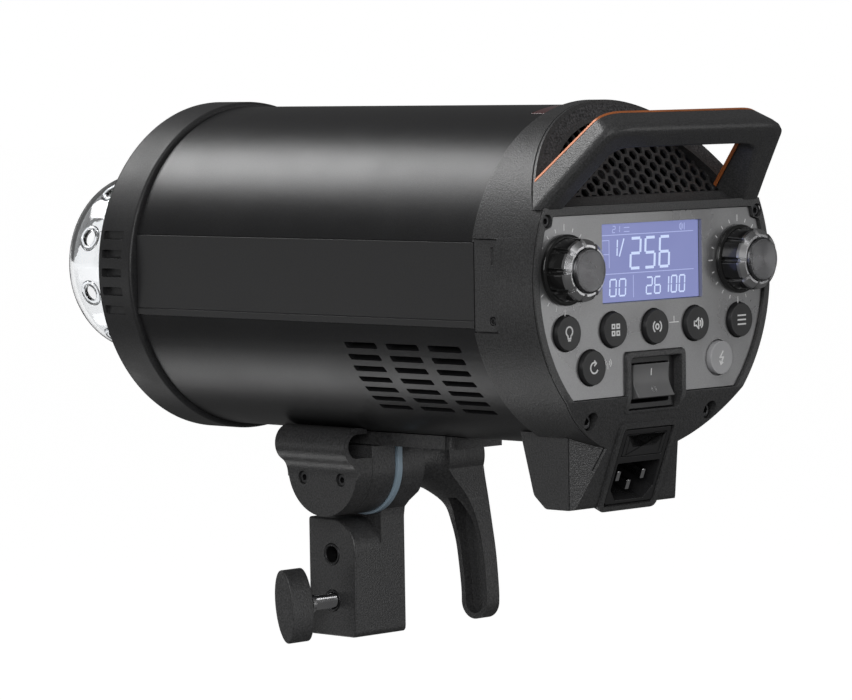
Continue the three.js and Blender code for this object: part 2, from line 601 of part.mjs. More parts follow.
function makeRearHousing() {
  const drum = rodY(HOUSING_R, HOUSING_FRONT, REAR_PLANE + 5, 0, AXIS_Z, 60);
  const outer = drum.intersect(alongX(housingSide(0), -FAR, FAR));
  const room = rodY(HOUSING_INNER_R, HOUSING_FRONT - 1, REAR_PLANE, 0, AXIS_Z, 48)
    .intersect(alongX(housingSide(4.2), -FAR, FAR));
  const podPlan = outline([[30, 121], [30, 145], [18.5, 157], [-18.5, 157], [-30, 145],
    [-30, 121]]);
  const podSide = outline([[121, -52], [121.2, -61.7], [127, -82], [129, -85], [133, -87],
    [144, -87], [tailY(-87), -87], [tailY(-50), -50]].map(([y, dz]) => [y, AXIS_Z + dz]));
  const pod = alongZ(podPlan, AXIS_Z - 88, AXIS_Z - 50)
    .intersect(alongX(podSide, -40, 40));
  const clear = rodY(BARREL_R + 0.5, 110, HOUSING_FRONT, 0, AXIS_Z, 60);
  const inner = rodY(HOUSING_INNER_R, HOUSING_FRONT - 10, REAR_PLANE, 0, AXIS_Z, 48);
  const podShell = cut(pod, clear, inner);
  const cuts = [room, grilleSpace(0, HOUSING_FRONT, REAR_PLANE + 9)];
  cuts.push(alongY(panelOutline(-GAP), PANEL_FACE - PANEL_T - GAP, REAR_PLANE + 9));
  cuts.push(alongY(panelOutline(3), REAR_PLANE - 12, REAR_PLANE + 9));
  const bz = AXIS_Z + ROCKER_DZ;
  cuts.push(block(-BEZEL_HALF[0] - GAP, BEZEL_HALF[0] + GAP, REAR_PLANE - 17, REAR_PLANE + 9,
    bz - BEZEL_HALF[1] - GAP, bz + BEZEL_HALF[1] + GAP));
  cuts.push(onTail(block(-INLET_HALF[0] - GAP, INLET_HALF[0] + GAP, -19, 9,
    -INLET_HALF[1] - GAP, INLET_HALF[1] + GAP), INLET_DZ));
  cuts.push(...flatCut(FLAT_X - TRIM_T - 0.1, HOUSING_FRONT - 1, COVER_REAR + GAP,
    FLAT_TOP + 1.4, FLAT_BOTTOM - 1.4));
  for (const side of [1, -1]) {
    cuts.push(rodY(2.6, PANEL_FACE - 4, REAR_PLANE + 1, side * TOP_SCREW[0],
      AXIS_Z + TOP_SCREW[1], 20));
    cuts.push(rodY(3.4, REAR_PLANE - 8.5, REAR_PLANE + 1, side * LOW_SCREW[0],
      AXIS_Z + LOW_SCREW[1], 20));
  }
  add(lampHead, 'rear_housing', cut(join(outer, podShell), ...cuts), paint('black', 0.6));
}

function makeCovers() {
  for (const [name, side] of [['side_cover_left', 1], ['side_cover_right', -1]]) {
    const x = [side * (FLAT_X - TRIM_T), side * (FLAT_X + 0.3)].sort((a, b) => a - b);
    const slotX = [side * (FLAT_X - 0.3), side * (FLAT_X + 2)].sort((a, b) => a - b);
    const plate = block(x[0], x[1], HOUSING_FRONT + 0.1, COVER_REAR,
      AXIS_Z + FLAT_BOTTOM - 1.1, AXIS_Z + FLAT_TOP + 1.1);
    const slot = block(slotX[0], slotX[1], 138, 139.6, AXIS_Z + 6.4, AXIS_Z + 13.2);
    add(lampHead, name, cut(plate, slot), paint('black', 0.5));
  }
}

const HEX_PITCH = 5.1;
const HEX_R = 2.2;
const GRILLE_DEPTH = 5;          // set back under the hood face
function makeGrille() {
  const lean = Math.atan(HOOD_SLOPE);
  const midDz = 44;
  const y = hoodY(midDz) - GRILLE_DEPTH;
  const g = new THREE.BoxGeometry(130, 1.6, 60).rotateX(lean);
  const sheet = solid(g.translate(0, y, AXIS_Z + midDz))
    .intersect(grilleSpace(GAP, HOUSING_FRONT, REAR_PLANE + 9));
  const holes = [];
  const step = HEX_PITCH * Math.sqrt(3) / 2;
  for (let column = -13; column <= 13; column++) {
    for (let row = -4; row <= 4; row++) {
      const x = column * step;
      const s = (row + (column & 1 ? 0.5 : 0)) * HEX_PITCH;
      const dz = midDz + s * Math.cos(lean);
      if (Math.hypot(x, dz) > GRILLE_R - 4.4 || dz < GRILLE_LOW + 3.4) continue;
      const hole = new THREE.CylinderGeometry(HEX_R, HEX_R, 6, 6).rotateY(Math.PI / 6);
      holes.push(solid(hole.translate(x, 0, s).rotateX(lean).translate(0, y, AXIS_Z + midDz)));
    }
  }
  add(lampHead, 'air_grille', cut(sheet, ...holes), paint('metal', 0.5, 0.6));
}

// Four rails run up each leg and across the bar: front outer, rear outer, rear inner and
// front inner. Each is [foot, corner] as [x, y, height above the lamp axis].
const HANDLE_RAILS = [
  [[57, 147, 32.8], [44.3, 177, 64.4]],
  [[64.5, 159.5, 23.5], [50.5, 188.4, 58]],
  [[54, 159.5, 22], [40, 179.6, 50.5]],
  [[46, 147, 26], [37.5, 172.4, 52.8]],
];
function handleStations() {
  const legEase = 0.12;
  const barEase = 0.25;
  const rounds = 5;
  const half = HANDLE_RAILS.map(([foot, corner]) => {
    const f = new THREE.Vector3(...foot);
    const c = new THREE.Vector3(...corner);
    const barEnd = new THREE.Vector3(c.x * (1 - barEase), c.y, c.z);
    const legEnd = f.clone().lerp(c, 1 - legEase);
    const bend = new THREE.QuadraticBezierCurve3(legEnd, c, barEnd).getPoints(rounds);
    return [f, ...bend, new THREE.Vector3(0, c.y, c.z)];
  });
  const count = half[0].length;
  const stations = Array.from({ length: count }, (_, i) => half.map((rail) => rail[i]));
  const mirrored = stations.slice(0, -1).reverse()
    .map((corners) => corners.map((p) => new THREE.Vector3(-p.x, p.y, p.z)));
  return [...stations, ...mirrored];
}
// Part of the handle's section between two depths behind its front face.
function handleLayer(front, back) {
  const toward = (a, b, d) => a.clone().add(b.clone().sub(a).setLength(d));
  return loft(handleStations().map(([fo, ro, ri, fi]) => {
    const corners = back === null
      ? [toward(fo, ro, front), ro, ri, toward(fi, ri, front)]
      : [toward(fo, ro, front), toward(fo, ro, back), toward(fi, ri, back),
        toward(fi, ri, front)];
    return chamfered(corners, back === null ? 2.2 : 0.4)
      .map((p) => [p.x, p.y, p.z + AXIS_Z]);
  }));
}
function chamfered(corners, size) {
  const n = corners.length;
  return corners.flatMap((p, i) => [corners[(i + n - 1) % n], corners[(i + 1) % n]]
    .map((q) => p.clone().add(q.clone().sub(p).setLength(size))));
}

function makeHandle() {
  const above = outline([[220, LEDGE_DZ + GAP], [220, 100], [hoodY(90) + GAP * 1.2, 100],
    [hoodY(90) + GAP * 1.2, 90], [hoodY(LEDGE_DZ) + GAP * 1.2, LEDGE_DZ + GAP]]
    .map(([y, dz]) => [y, AXIS_Z + dz]));
  const air = alongX(above, -90, 90);
  const trim = 1.6;
  add(lampHead, 'carry_handle', handleLayer(trim + 0.7, null).intersect(air),
    paint('black', 0.5));
  add(lampHead, 'handle_trim', handleLayer(0, trim).intersect(air), paint('copper', 0.4, 0.3));
}

// ---- control panel ------------------------------------------------------------------------
const back = (depth) => PANEL_FACE - depth;
function makePanel() {
  const z = AXIS_Z;
  const sheet = alongY(panelOutline(0), back(PANEL_T), PANEL_FACE);
  const holes = [block(-LCD_HALF, LCD_HALF, 150, 170, z + LCD_BOTTOM, z + LCD_TOP)];
  for (const side of [1, -1]) holes.push(rodY(4.4, 150, 170, side * DIAL_X, z + DIAL_DZ, 20));
  const spots = [...BUTTON_X.map((x) => [x, BUTTON_DZ]), MODE_AT, TEST_AT];
  for (const [x, dz] of spots) holes.push(rodY(BUTTON_R + GAP, 150, 170, x, z + dz, 24));
  add(lampHead, 'control_panel', cut(sheet, ...holes), paint('gloss', 0.15));
  add(lampHead, 'lcd_screen', block(-LCD_HALF + GAP, LCD_HALF - GAP, back(6), back(0.5),
    z + LCD_BOTTOM + GAP, z + LCD_TOP - GAP), paint('screen', 0.2));
  add(lampHead, 'control_board', block(-50, 50, back(12.5), back(10.9), z - 24, z + 22),
    paint('board', 0.6));
  const names = ['lamp_button', 'group_button', 'slave_button', 'sound_button', 'menu_button',
    'mode_button', 'test_button'];
  spots.forEach(([x, dz], i) => {
    const flange = rodY(BUTTON_R + 1.2, back(PANEL_T + 2.2), back(PANEL_T + GAP), x, z + dz, 16);
    const cap = rodY(BUTTON_R, back(PANEL_T + 2), PANEL_FACE + BUTTON_PROUD - 0.6, x, z + dz, 16);
    const top = rodY(BUTTON_R, PANEL_FACE + BUTTON_PROUD - 0.7, PANEL_FACE + BUTTON_PROUD, x,
      z + dz, 16, BUTTON_R - 0.7);
    add(lampHead, names[i], join(flange, cap, top), paint(i === 6 ? 'grey' : 'black', 0.4));
  });
}

function makeDials() {
  const foot = PANEL_FACE + 0.5;
  for (const [name, side] of [['dial_left', 1], ['dial_right', -1]]) {
    const x = side * DIAL_X;
    const z = AXIS_Z + DIAL_DZ;
    const skirt = rodY(13.2, foot, foot + 1.6, x, z, 36);
    const grip = rodY(12, foot + 1.5, foot + 11.4, x, z, 36, 11);
    const flutes = Array.from({ length: 12 }, (_, i) => {
      const a = (i / 12) * Math.PI * 2;
      return rodY(1.2, foot + 1.7, foot + 20, x + 12.4 * Math.cos(a), z + 12.4 * Math.sin(a), 6);
    });
    const stem = rodY(3, back(9.5), foot + 1, x, z, 16);
    const seat = rodY(8.6, foot + 9.6, foot + 14, x, z, 24);
    add(lampHead, name, cut(join(skirt, cut(grip, ...flutes), stem), seat), paint('black', 0.5));
    const cap = join(rodY(8.3, foot + 9.9, foot + 11.9, x, z, 24),
      rodY(8.3, foot + 11.8, foot + 12.9, x, z, 24, 7.5));
    add(lampHead, `${name}_cap`, cap, paint('steel', 0.3, 1));
  }
}

function makeRocker() {
  const z = AXIS_Z + ROCKER_DZ;
  const frame = block(-BEZEL_HALF[0], BEZEL_HALF[0], REAR_PLANE - 15.5,
    REAR_PLANE - BEZEL_SET_BACK, z - BEZEL_HALF[1], z + BEZEL_HALF[1]);
  const hole = block(-ROCKER_HALF[0] - 0.5, ROCKER_HALF[0] + 0.5, REAR_PLANE - 14,
    REAR_PLANE + 3, z - ROCKER_HALF[1] - 1, z + ROCKER_HALF[1] + 1);
  add(lampHead, 'rocker_bezel', cut(frame, hole), paint('black', 0.4));
  const [, h] = ROCKER_HALF;
  const profile = outline([[3.2, 0], [4.8, -h], [0.5, -h], [-3.5, -4], [-5, 0], [-3.5, 4],
    [0.5, h], [4.8, h]]);
  const g = shape3(alongX(profile, -ROCKER_HALF[0], ROCKER_HALF[0]));
  g.rotateX(THREE.MathUtils.degToRad(ROCKER_TILT)).translate(0, REAR_PLANE - ROCKER_PIVOT, z);
  add(lampHead, 'power_rocker', solid(g), paint('black', 0.35));
}

// ---- power inlet --------------------------------------------------------------------------
function makeInlet() {
  const [hw, hh] = INLET_HALF;
  const bodyBlock = block(-hw, hw, -18, 0.6, -hh, hh);
  const recess = outline([[-12, 1.4], [12, 1.4], [12, -9.6], [8, -14.2], [-8, -14.2],
    [-12, -9.6]]);
  const socketCut = alongY(recess, -15, 5);
  const drawerCut = block(-11.4, 11.4, -16, 5, 4.2, 13.6);
  add(lampHead, 'inlet_body', onTail(cut(bodyBlock, socketCut, drawerCut), INLET_DZ),
    paint('black', 0.4));
  const drawer = cut(block(-11.1, 11.1, -15.4, 0.9, 4.5, 13.3),
    block(-4, 4, 0.2, 5, 7, 8));
  add(lampHead, 'fuse_drawer', onTail(drawer, INLET_DZ), paint('black', 0.4));
  for (const [name, x, s] of [['pin_live', -7, -5], ['pin_neutral', 7, -5],
    ['pin_earth', 0, -9]]) {
    add(lampHead, `inlet_${name}`, onTail(block(x - 1, x + 1, -14.7, -1.5, s - 2, s + 2),
      INLET_DZ), paint('steel', 0.25, 1));
  }
}

// ---- screws, sensor window and inside parts -----------------------------------------------
function makeScrews() {
  for (const [corner, side] of [['left', 1], ['right', -1]]) {
    for (const [row, at, y, r] of [['top', TOP_SCREW, REAR_PLANE - 1, 2.3],
      ['low', LOW_SCREW, REAR_PLANE - 5.6, 3]]) {
      const x = side * at[0];
      const z = AXIS_Z + at[1];
      const head = rodY(r, y - 2, y, x, z, 16);
      const drive = rodY(r * 0.45, y - 1.2, y + 1, x, z, 6);
      add(lampHead, `panel_screw_${row}_${corner}`, cut(head, drive), paint('metal', 0.35, 0.8));
    }
  }
}

function makeInside() {
  const z = AXIS_Z;
  const fanY = [98, 122];
  const frame = cut(block(-40, 40, fanY[0], fanY[1], z - 40, z + 40),
    rodY(38.4, fanY[0] - 1, fanY[1] + 1, 0, z, 32));
  const motor = rodY(11, fanY[0], fanY[0] + 3, 0, z, 20);
  const arms = [0, 1].map((i) => {
    const g = new THREE.BoxGeometry(79, 2.4, 3).rotateY(Math.PI / 4 + i * Math.PI / 2);
    return solid(g.translate(0, fanY[0] + 1.2, z));
  });
  add(lampHead, 'fan_frame', join(frame, motor, ...arms), paint('black', 0.6));
  const hub = rodY(15, fanY[0] + 4, fanY[1] - 2, 0, z, 28);
  const blades = Array.from({ length: 7 }, (_, i) => {
    const g = new THREE.BoxGeometry(26, 2, 20).rotateX(THREE.MathUtils.degToRad(40));
    g.translate(24.5, (fanY[0] + fanY[1]) / 2 + 1, 0).rotateY(i * Math.PI * 2 / 7);
    return solid(g.translate(0, 0, z));
  });
  const reach = rodY(37, fanY[0] + 4, fanY[1] - 2, 0, z, 48);
  add(lampHead, 'fan_rotor', join(hub, ...blades).intersect(reach), paint('black', 0.6));
  add(lampHead, 'main_board', block(-46, 46, -50, 90, z - 34, z - 32.4), paint('board', 0.6));
  for (const [name, side] of [['capacitor_left', 1], ['capacitor_right', -1]]) {
    add(lampHead, name, rodY(19, -48, 70, side * 21, z - 13, 24), paint('metal', 0.4));
  }
  add(lampHead, 'sensor_window', sensorPocket(0.25), paint('red', 0.15));
}

makeStandFork();
makeClampKnob();
makeTiltLever();
makeTiltHead();
makeUmbrellaClamp();
makeRail();
makeBarrel();
makeFront();
makeRearHousing();
makeCovers();
makeGrille();
makeHandle();
makePanel();
makeDials();
makeRocker();
makeInlet();
makeScrews();
makeInside();

const strobe = new THREE.Group();
strobe.add(standBracket, lampHead);
export default strobe;
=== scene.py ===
"""Monolight studio strobe on its tilting stand bracket: shapes, finishes, light and camera."""

import json
from math import asin, atan, cos, degrees, hypot, radians as rad, sin, sqrt, tan, tau as TAU

import bmesh
import bpy
from mathutils import Matrix, Vector


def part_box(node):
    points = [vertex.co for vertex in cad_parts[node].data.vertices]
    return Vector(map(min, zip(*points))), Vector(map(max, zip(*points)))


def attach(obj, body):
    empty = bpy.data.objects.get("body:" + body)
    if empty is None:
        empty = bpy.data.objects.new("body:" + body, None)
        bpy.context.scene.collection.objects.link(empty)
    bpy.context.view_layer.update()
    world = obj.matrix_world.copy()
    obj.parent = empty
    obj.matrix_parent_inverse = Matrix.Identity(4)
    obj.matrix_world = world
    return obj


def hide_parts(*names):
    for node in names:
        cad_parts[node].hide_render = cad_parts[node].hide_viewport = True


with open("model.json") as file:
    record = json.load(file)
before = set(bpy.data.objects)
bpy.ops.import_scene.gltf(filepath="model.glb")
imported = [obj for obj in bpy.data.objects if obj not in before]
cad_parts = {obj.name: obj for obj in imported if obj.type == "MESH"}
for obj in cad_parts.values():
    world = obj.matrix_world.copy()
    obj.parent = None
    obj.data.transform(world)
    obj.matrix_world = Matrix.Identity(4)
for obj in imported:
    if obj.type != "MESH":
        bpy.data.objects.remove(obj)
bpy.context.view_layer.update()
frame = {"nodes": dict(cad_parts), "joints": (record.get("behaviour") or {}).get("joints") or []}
scene = bpy.context.scene
MM = 0.001
SIDES = ((1, "left"), (-1, "right"))


# ---- shapes: everything below is in millimetres until build() ----
def span(node):
    low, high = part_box(node)
    return low / MM, high / MM


def linked(name, data):
    o = bpy.data.objects.new(name, data)
    scene.collection.objects.link(o)
    return o


def build(name, verts, faces):
    """One object from points in mm."""
    mesh = bpy.data.meshes.new(name)
    mesh.from_pydata([Vector(v) * MM for v in verts], [], faces)
    bm = bmesh.new()
    bm.from_mesh(mesh)
    bmesh.ops.remove_doubles(bm, verts=bm.verts, dist=1e-6)
    bmesh.ops.recalc_face_normals(bm, faces=bm.faces)
    bm.to_mesh(mesh)
    bm.free()
    return linked(name, mesh)


PLACE = {
    "x": lambda u, v, w: (w, u, v),
    "y": lambda u, v, w: (u, w, v),
    "z": lambda u, v, w: (u, v, w),}


def prism(name, loop, axis, a, b):
    """An outline carried along an axis. Along x it is drawn in (y, z), along y in (x, z)."""
    n = len(loop)
    verts = [PLACE[axis](u, v, w) for w in (a, b) for u, v in loop]
    faces = [list(range(n)), list(range(2 * n - 1, n - 1, -1))]
    faces += [(i, (i + 1) % n, n + (i + 1) % n, n + i) for i in range(n)]
    return build(name, verts, faces)


def skin(name, rings):
    """Rings of matching points joined into one body with closed ends."""
    n = len(rings[0])
    faces = [(i * n + k, i * n + (k + 1) % n, (i + 1) * n + (k + 1) % n, (i + 1) * n + k)
             for i in range(len(rings) - 1) for k in range(n)]
    faces += [list(range(n)), list(range(len(rings) * n - 1, (len(rings) - 1) * n - 1, -1))]
    return build(name, [p for ring in rings for p in ring], faces)


def box(name, x0, x1, y0, y1, z0, z1):
    return prism(name, [(x0, y0), (x1, y0), (x1, y1), (x0, y1)], "z", z0, z1)


def lathe(name, profile, sides=128, x=0.0, z=None, ring=False, axis="y"):
    """A profile of (radius, station) turned about an axis through (x, z)."""
    z = AXIS if z is None else z
    n = len(profile)
    turn = [(cos(TAU * k / sides), sin(TAU * k / sides)) for k in range(sides)]
    verts = [PLACE[axis](x + r * c, z + r * s, w) for r, w in profile for c, s in turn]
    faces = []
    for i in range(n if ring else n - 1):
        a, b = i * sides, (i + 1) % n * sides
        faces += [(a + k, a + (k + 1) % sides, b + (k + 1) % sides, b + k) for k in range(sides)]
    return build(name, verts, faces)


def rod(name, r, a, b, u, v, axis="y", sides=48):
    return lathe(name, [(0, a), (r, a), (r, b), (0, b)], sides, u, v, axis=axis)


def bend(a, b, c, t):
    """A point on the curve that leaves a and meets c, drawn towards b."""
    return (1 - t) ** 2 * a + 2 * t * (1 - t) * b + t * t * c


def fillet(points, radius, steps=5, closed=True):
    """Rounds an outline's corners. radius is one number or one for each corner."""
    pts = [Vector(p) for p in points]
    n = len(pts)
    out = []
    for i, p in enumerate(pts):
        r = radius[i] if isinstance(radius, (list, tuple)) else radius
        if r <= 0 or (not closed and i in (0, n - 1)):
            out.append(tuple(p))
            continue
        a, b = pts[i - 1] - p, pts[(i + 1) % n] - p
        reach = min(r / tan(a.angle(b) / 2), a.length * 0.49, b.length * 0.49)
        p0, p1 = p + a.normalized() * reach, p + b.normalized() * reach
        out += [tuple(bend(p0, p, p1, i / steps)) for i in range(steps + 1)]
    return out


def slab(u0, u1, v0, v1, r=0.0, steps=5):
    return fillet([(u0, v0), (u1, v0), (u1, v1), (u0, v1)], r, steps)


def arc(r, a0=0, a1=360, steps=28, u=0.0, v=0.0):
    """Points round a circle about (u, v), from a0 to a1 degrees."""
    return [(u + r * cos(rad(a0 + (a1 - a0) * i / steps)),
             v + r * sin(rad(a0 + (a1 - a0) * i / steps))) for i in range(steps + 1)]


def raised(points):
    """Heights above the lamp's axis turned into heights above the stand socket."""
    return [(u, AXIS + dz) for u, dz in points]


def across(name, points, reach=90):
    """A side-view outline of (y, height above the lamp's axis), carried right across in x."""
    return prism(name, raised(points), "x", -reach, reach)


def outward(side, a, b):
    """Two distances from the middle plane as a low and a high x on one side."""
    return sorted((side * a, side * b))


def depths(node):
    """The nearest and farthest distance of a side part from the middle plane."""
    low, high = span(node)
    return sorted((abs(low.x), abs(high.x)))


def centre(node):
    low, high = span(node)
    return (low + high) / 2


def pivot(joint_name):
    """Where a joint's axis crosses the (y, z) plane."""
    joint = next(j for j in frame["joints"] if j["name"] == joint_name)
    _, y, z = (c / MM for c in joint["pos_m"])
    return y, z


def hex_drive(r, axis, a, b, u, v):
    """The hex socket of a screw at (u, v)."""
    return prism("drive", arc(r, 0, 300, 5, u, v), axis, a, b)


def bake(o):
    graph = bpy.context.evaluated_depsgraph_get()
    mesh = bpy.data.meshes.new_from_object(o.evaluated_get(graph))
    o.modifiers.clear()
    o.data = mesh
    return o


def carve(o, *tools, how="DIFFERENCE"):
    for tool in tools:
        m = o.modifiers.new("cut", "BOOLEAN")
        m.operation, m.object, m.solver = how, tool, "EXACT"
    bake(o)
    for tool in tools:
        bpy.data.objects.remove(tool)
    return o


def fuse(o, *more):
    return carve(o, *more, how="UNION")


def gather(name, objects):
    """Separate bodies in one object, for one cut or one look."""
    bm = bmesh.new()
    for o in objects:
        bm.from_mesh(o.data)
        bpy.data.objects.remove(o)
    mesh = bpy.data.meshes.new(name)
    bm.to_mesh(mesh)
    bm.free()
    return linked(name, mesh)


def moved(o, matrix):
    o.data.transform(matrix)
    return o


def about_axis(angle, y=0.0):
    """A turn about the lamp's axis, with the origin put on it at y."""
    return Matrix.Translation((0, y * MM, AXIS * MM)) @ Matrix.Rotation(rad(angle), 4, "Y")


def turn_x(o, angle, y, z):
    at = Matrix.Translation(Vector((0, y, z)) * MM)
    return moved(o, at @ Matrix.Rotation(rad(angle), 4, "X"))


def soften(o, width, segments, angle):
    m = o.modifiers.new("edges", "BEVEL")
    m.width, m.segments, m.limit_method, m.angle_limit = width * MM, segments, "ANGLE", rad(angle)
    m.use_clamp_overlap = True
    return o


def bevelled(o, width, segments=3):
    return bake(soften(o, width, segments, 32))


def shade(o, look, angle=40):
    o.data.polygons.foreach_set("use_smooth", [True] * len(o.data.polygons))
    o.data.set_sharp_from_angle(angle=rad(angle))
    m = o.modifiers.new("normals", "WEIGHTED_NORMAL")
    m.keep_sharp = True
    m.weight = 60
    o.data.materials.clear()
    o.data.materials.append(look)


def place(o, look, node=None, body="lamp", edge=0.0, angle=40, segments=3):
    """Finishes a piece: soft edges, its look, the body it rides and the CAD node it replaces."""
    if edge:
        bevelled(o, edge, segments)
    shade(o, look, angle)
    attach(o, body)
    if node:
        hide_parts(node)


def keep(node, look, edge=0.0):
    """A CAD node that stays, with softened edges and its own finish."""
    o = frame["nodes"][node]
    if edge:
        soften(o, edge, 2, 35)
    shade(o, look)


# ---- finishes ----
BLOTCH = 25.0


def add(nodes, kind, inputs=None, **settings):
    """A shader node with its settings and its inputs' values."""
    made = nodes.new("ShaderNode" + kind)
    for key, value in settings.items():
        setattr(made, key, value)
    for key, value in (inputs or {}).items():
        made.inputs[key].default_value = value
    return made


def spin_grooves(nodes, links, coords, shader, x, z):
    """Fine turned grooves about a spindle along Y through (x, z), and the sheen round it."""
    shift = add(nodes, "VectorMath", {1: (x * MM, 0, z * MM)}, operation="SUBTRACT")
    links.new(coords, shift.inputs[0])
    from_spindle = shift.outputs["Vector"]
    rings = add(nodes, "TexWave", {"Scale": 900.0, "Distortion": 1.0}, wave_type="RINGS",
                rings_direction="Y")
    links.new(from_spindle, rings.inputs["Vector"])
    around = add(nodes, "VectorMath", {1: (0, 1, 0)}, operation="CROSS_PRODUCT")
    links.new(from_spindle, around.inputs[0])
    turned = add(nodes, "VectorTransform", vector_type="VECTOR", convert_from="OBJECT",
                 convert_to="WORLD")
    links.new(around.outputs["Vector"], turned.inputs["Vector"])
    links.new(turned.outputs["Vector"], shader.inputs["Tangent"])
    shader.inputs["Anisotropic"].default_value = 0.8
    return rings.outputs["Fac"]


def finish(name, colour, rough=0.5, grain=0.7, bump=0.1, speckle=0.0, vary=0.12,
           rough_vary=0.06, metal=0.0, coat=0.0, glow=None, glow_strength=1.0, clear=0.0, spun=None):
    """grain is the texture's size in mm, bump its depth, speckle its light and dark spots."""
    mat = bpy.data.materials.new(name)
    mat.use_nodes = True
    nodes, links = mat.node_tree.nodes, mat.node_tree.links
    shader = nodes["Principled BSDF"]
    coords = add(nodes, "TexCoord").outputs["Object"]
    fine = add(nodes, "TexNoise", {"Scale": 1000 / grain, "Detail": 2.0})
    wide = add(nodes, "TexNoise", {"Scale": 1000 / BLOTCH, "Detail": 4.0})
    links.new(coords, fine.inputs["Vector"])
    links.new(coords, wide.inputs["Vector"])

    def mapped(source, low, high, a=0.3, b=0.7):
        m = add(nodes, "MapRange", {"From Min": a, "From Max": b, "To Min": low, "To Max": high})
        links.new(source, m.inputs["Value"])
        return m.outputs["Result"]

    def blended(factor, low, high):
        m = add(nodes, "Mix", data_type="RGBA")
        m.inputs["A"].default_value, m.inputs["B"].default_value = (*low, 1), (*high, 1)
        links.new(factor, m.inputs["Factor"])
        return m.outputs["Result"]

    base = blended(mapped(wide.outputs["Fac"], 0, 1), [c * (1 - vary) for c in colour],
                   [min(c * (1 + vary), 1) for c in colour])
    if speckle:
        spots = add(nodes, "Mix", data_type="RGBA", blend_type="MULTIPLY")
        spots.inputs["Factor"].default_value = 1.0
        spread = blended(mapped(fine.outputs["Fac"], 0, 1, 0.35, 0.68),
                         [1 - 0.7 * speckle] * 3, [1 + 1.6 * speckle] * 3)
        links.new(base, spots.inputs["A"])
        links.new(spread, spots.inputs["B"])
        base = spots.outputs["Result"]
    links.new(base, shader.inputs["Base Color"])
    links.new(mapped(wide.outputs["Fac"], rough - rough_vary, rough + rough_vary),
              shader.inputs["Roughness"])
    height = fine.outputs["Fac"]
    if spun:
        height = spin_grooves(nodes, links, coords, shader, *spun)
    dent = add(nodes, "Bump", {"Strength": bump, "Distance": grain * MM * 0.5})
    links.new(height, dent.inputs["Height"])
    links.new(dent.outputs["Normal"], shader.inputs["Normal"])
    values = {"Metallic": metal}
    if coat:
        values |= {"Coat Weight": coat, "Coat Roughness": 0.08}
    if glow:
        values |= {"Emission Color": (*glow, 1), "Emission Strength": glow_strength}
    if clear:
        values |= {"Transmission Weight": clear, "IOR": 1.47}
    for key, value in values.items():
        shader.inputs[key].default_value = value
    return mat


CAST = finish("textured_cast_black", (0.044, 0.044, 0.045), 0.36, 0.7, 0.5, 0.45, 0.06, 0.03)
BARREL = finish("satin_barrel", (0.018, 0.018, 0.019), 0.33, 0.35, 0.2, 0.3, 0.04, 0.02, metal=0.2)
BAND = finish("side_band", (0.030, 0.030, 0.031), 0.42, 0.4, 0.12, 0.15, 0.04, 0.02)
MOULD = finish("moulded_black", (0.044, 0.044, 0.045), 0.36, 0.6, 0.45, 0.4, 0.06, 0.03)
RING = finish("ring_black", (0.026, 0.026, 0.027), 0.44, 0.5, 0.25, 0.3)
SMOOTH = finish("smooth_black", (0.022, 0.022, 0.023), 0.28, 0.4, 0.04)
FASCIA = finish("fascia_grey", (0.33, 0.33, 0.335), 0.30, 0.3, 0.03, 0.05, vary=0.03, metal=0.7)
KNOB = finish("knob_black", (0.012, 0.012, 0.012), 0.2, 0.4, 0.03, coat=0.4)
KEY = finish("key_black", (0.022, 0.022, 0.023), 0.42, 0.35, 0.06)
KEY_GREY = finish("key_grey", (0.42, 0.42, 0.43), 0.35, 0.35, 0.05)
# The rocker is a black switch; its base colour is lifted to a dark grey, well above the other black
# parts, as painted reflection of something bright in its face.
ROCKER_PAINTED_REFLECTION = finish("rocker_black_painted_reflection", (0.15, 0.15, 0.152), 0.3, 0.35, 0.05)
INK = finish("white_ink", (0.86, 0.86, 0.86), 0.5, 0.3, 0.02, vary=0.05)
STEEL = finish("bright_steel", (0.62, 0.62, 0.63), 0.16, 0.5, 0.03, metal=1.0)
RIM = finish("turned_rim", (0.62, 0.62, 0.63), 0.28, 0.3, 0.03, metal=1.0)
DULL = finish("blackened_steel", (0.05, 0.05, 0.052), 0.35, 0.4, 0.08, metal=0.8)
COPPER = finish("copper_stripe", (0.52, 0.155, 0.045), 0.38, 0.4, 0.08, 0.1, metal=0.25)
WASHER = finish("blue_washer", (0.34, 0.45, 0.54), 0.42, 0.4, 0.05)
MESH = finish("grille_metal", (0.085, 0.085, 0.087), 0.42, 0.4, 0.12, 0.15, metal=0.5)
HOOD = finish("hood_speckle", (0.040, 0.040, 0.042), 0.46, 0.75, 0.6, 0.75)
CERAMIC = finish("glazed_white", (0.72, 0.71, 0.67), 0.35, 0.6, 0.05)
BOARD = finish("circuit_green", (0.03, 0.12, 0.06), 0.45, 0.8, 0.1, 0.3)
SLEEVE = finish("capacitor_sleeve", (0.03, 0.03, 0.06), 0.35, 0.6, 0.04)
WINDOW = finish("red_window", (0.10, 0.008, 0.010), 0.12, 0.4, 0.02, coat=0.6)
GLASS = finish("clear_glass", (0.97, 0.98, 0.99), 0.02, 6.0, 0.01, clear=1.0, rough_vary=0.01, vary=0.01)
FROST = finish("frosted_glass", (0.93, 0.93, 0.92), 0.30, 0.6, 0.05, clear=0.35)
LCD = finish("lcd_lilac", (0.05, 0.05, 0.10), 0.22, 0.3, 0.02, glow=(0.20, 0.225, 0.45))
DIGIT = finish("lcd_digit", (0.10, 0.10, 0.14), 0.3, 0.3, 0.02, glow=(0.56, 0.66, 0.90))
FAINT = finish("lcd_faint", (0.08, 0.08, 0.13), 0.3, 0.3, 0.02, glow=(0.36, 0.41, 0.68))


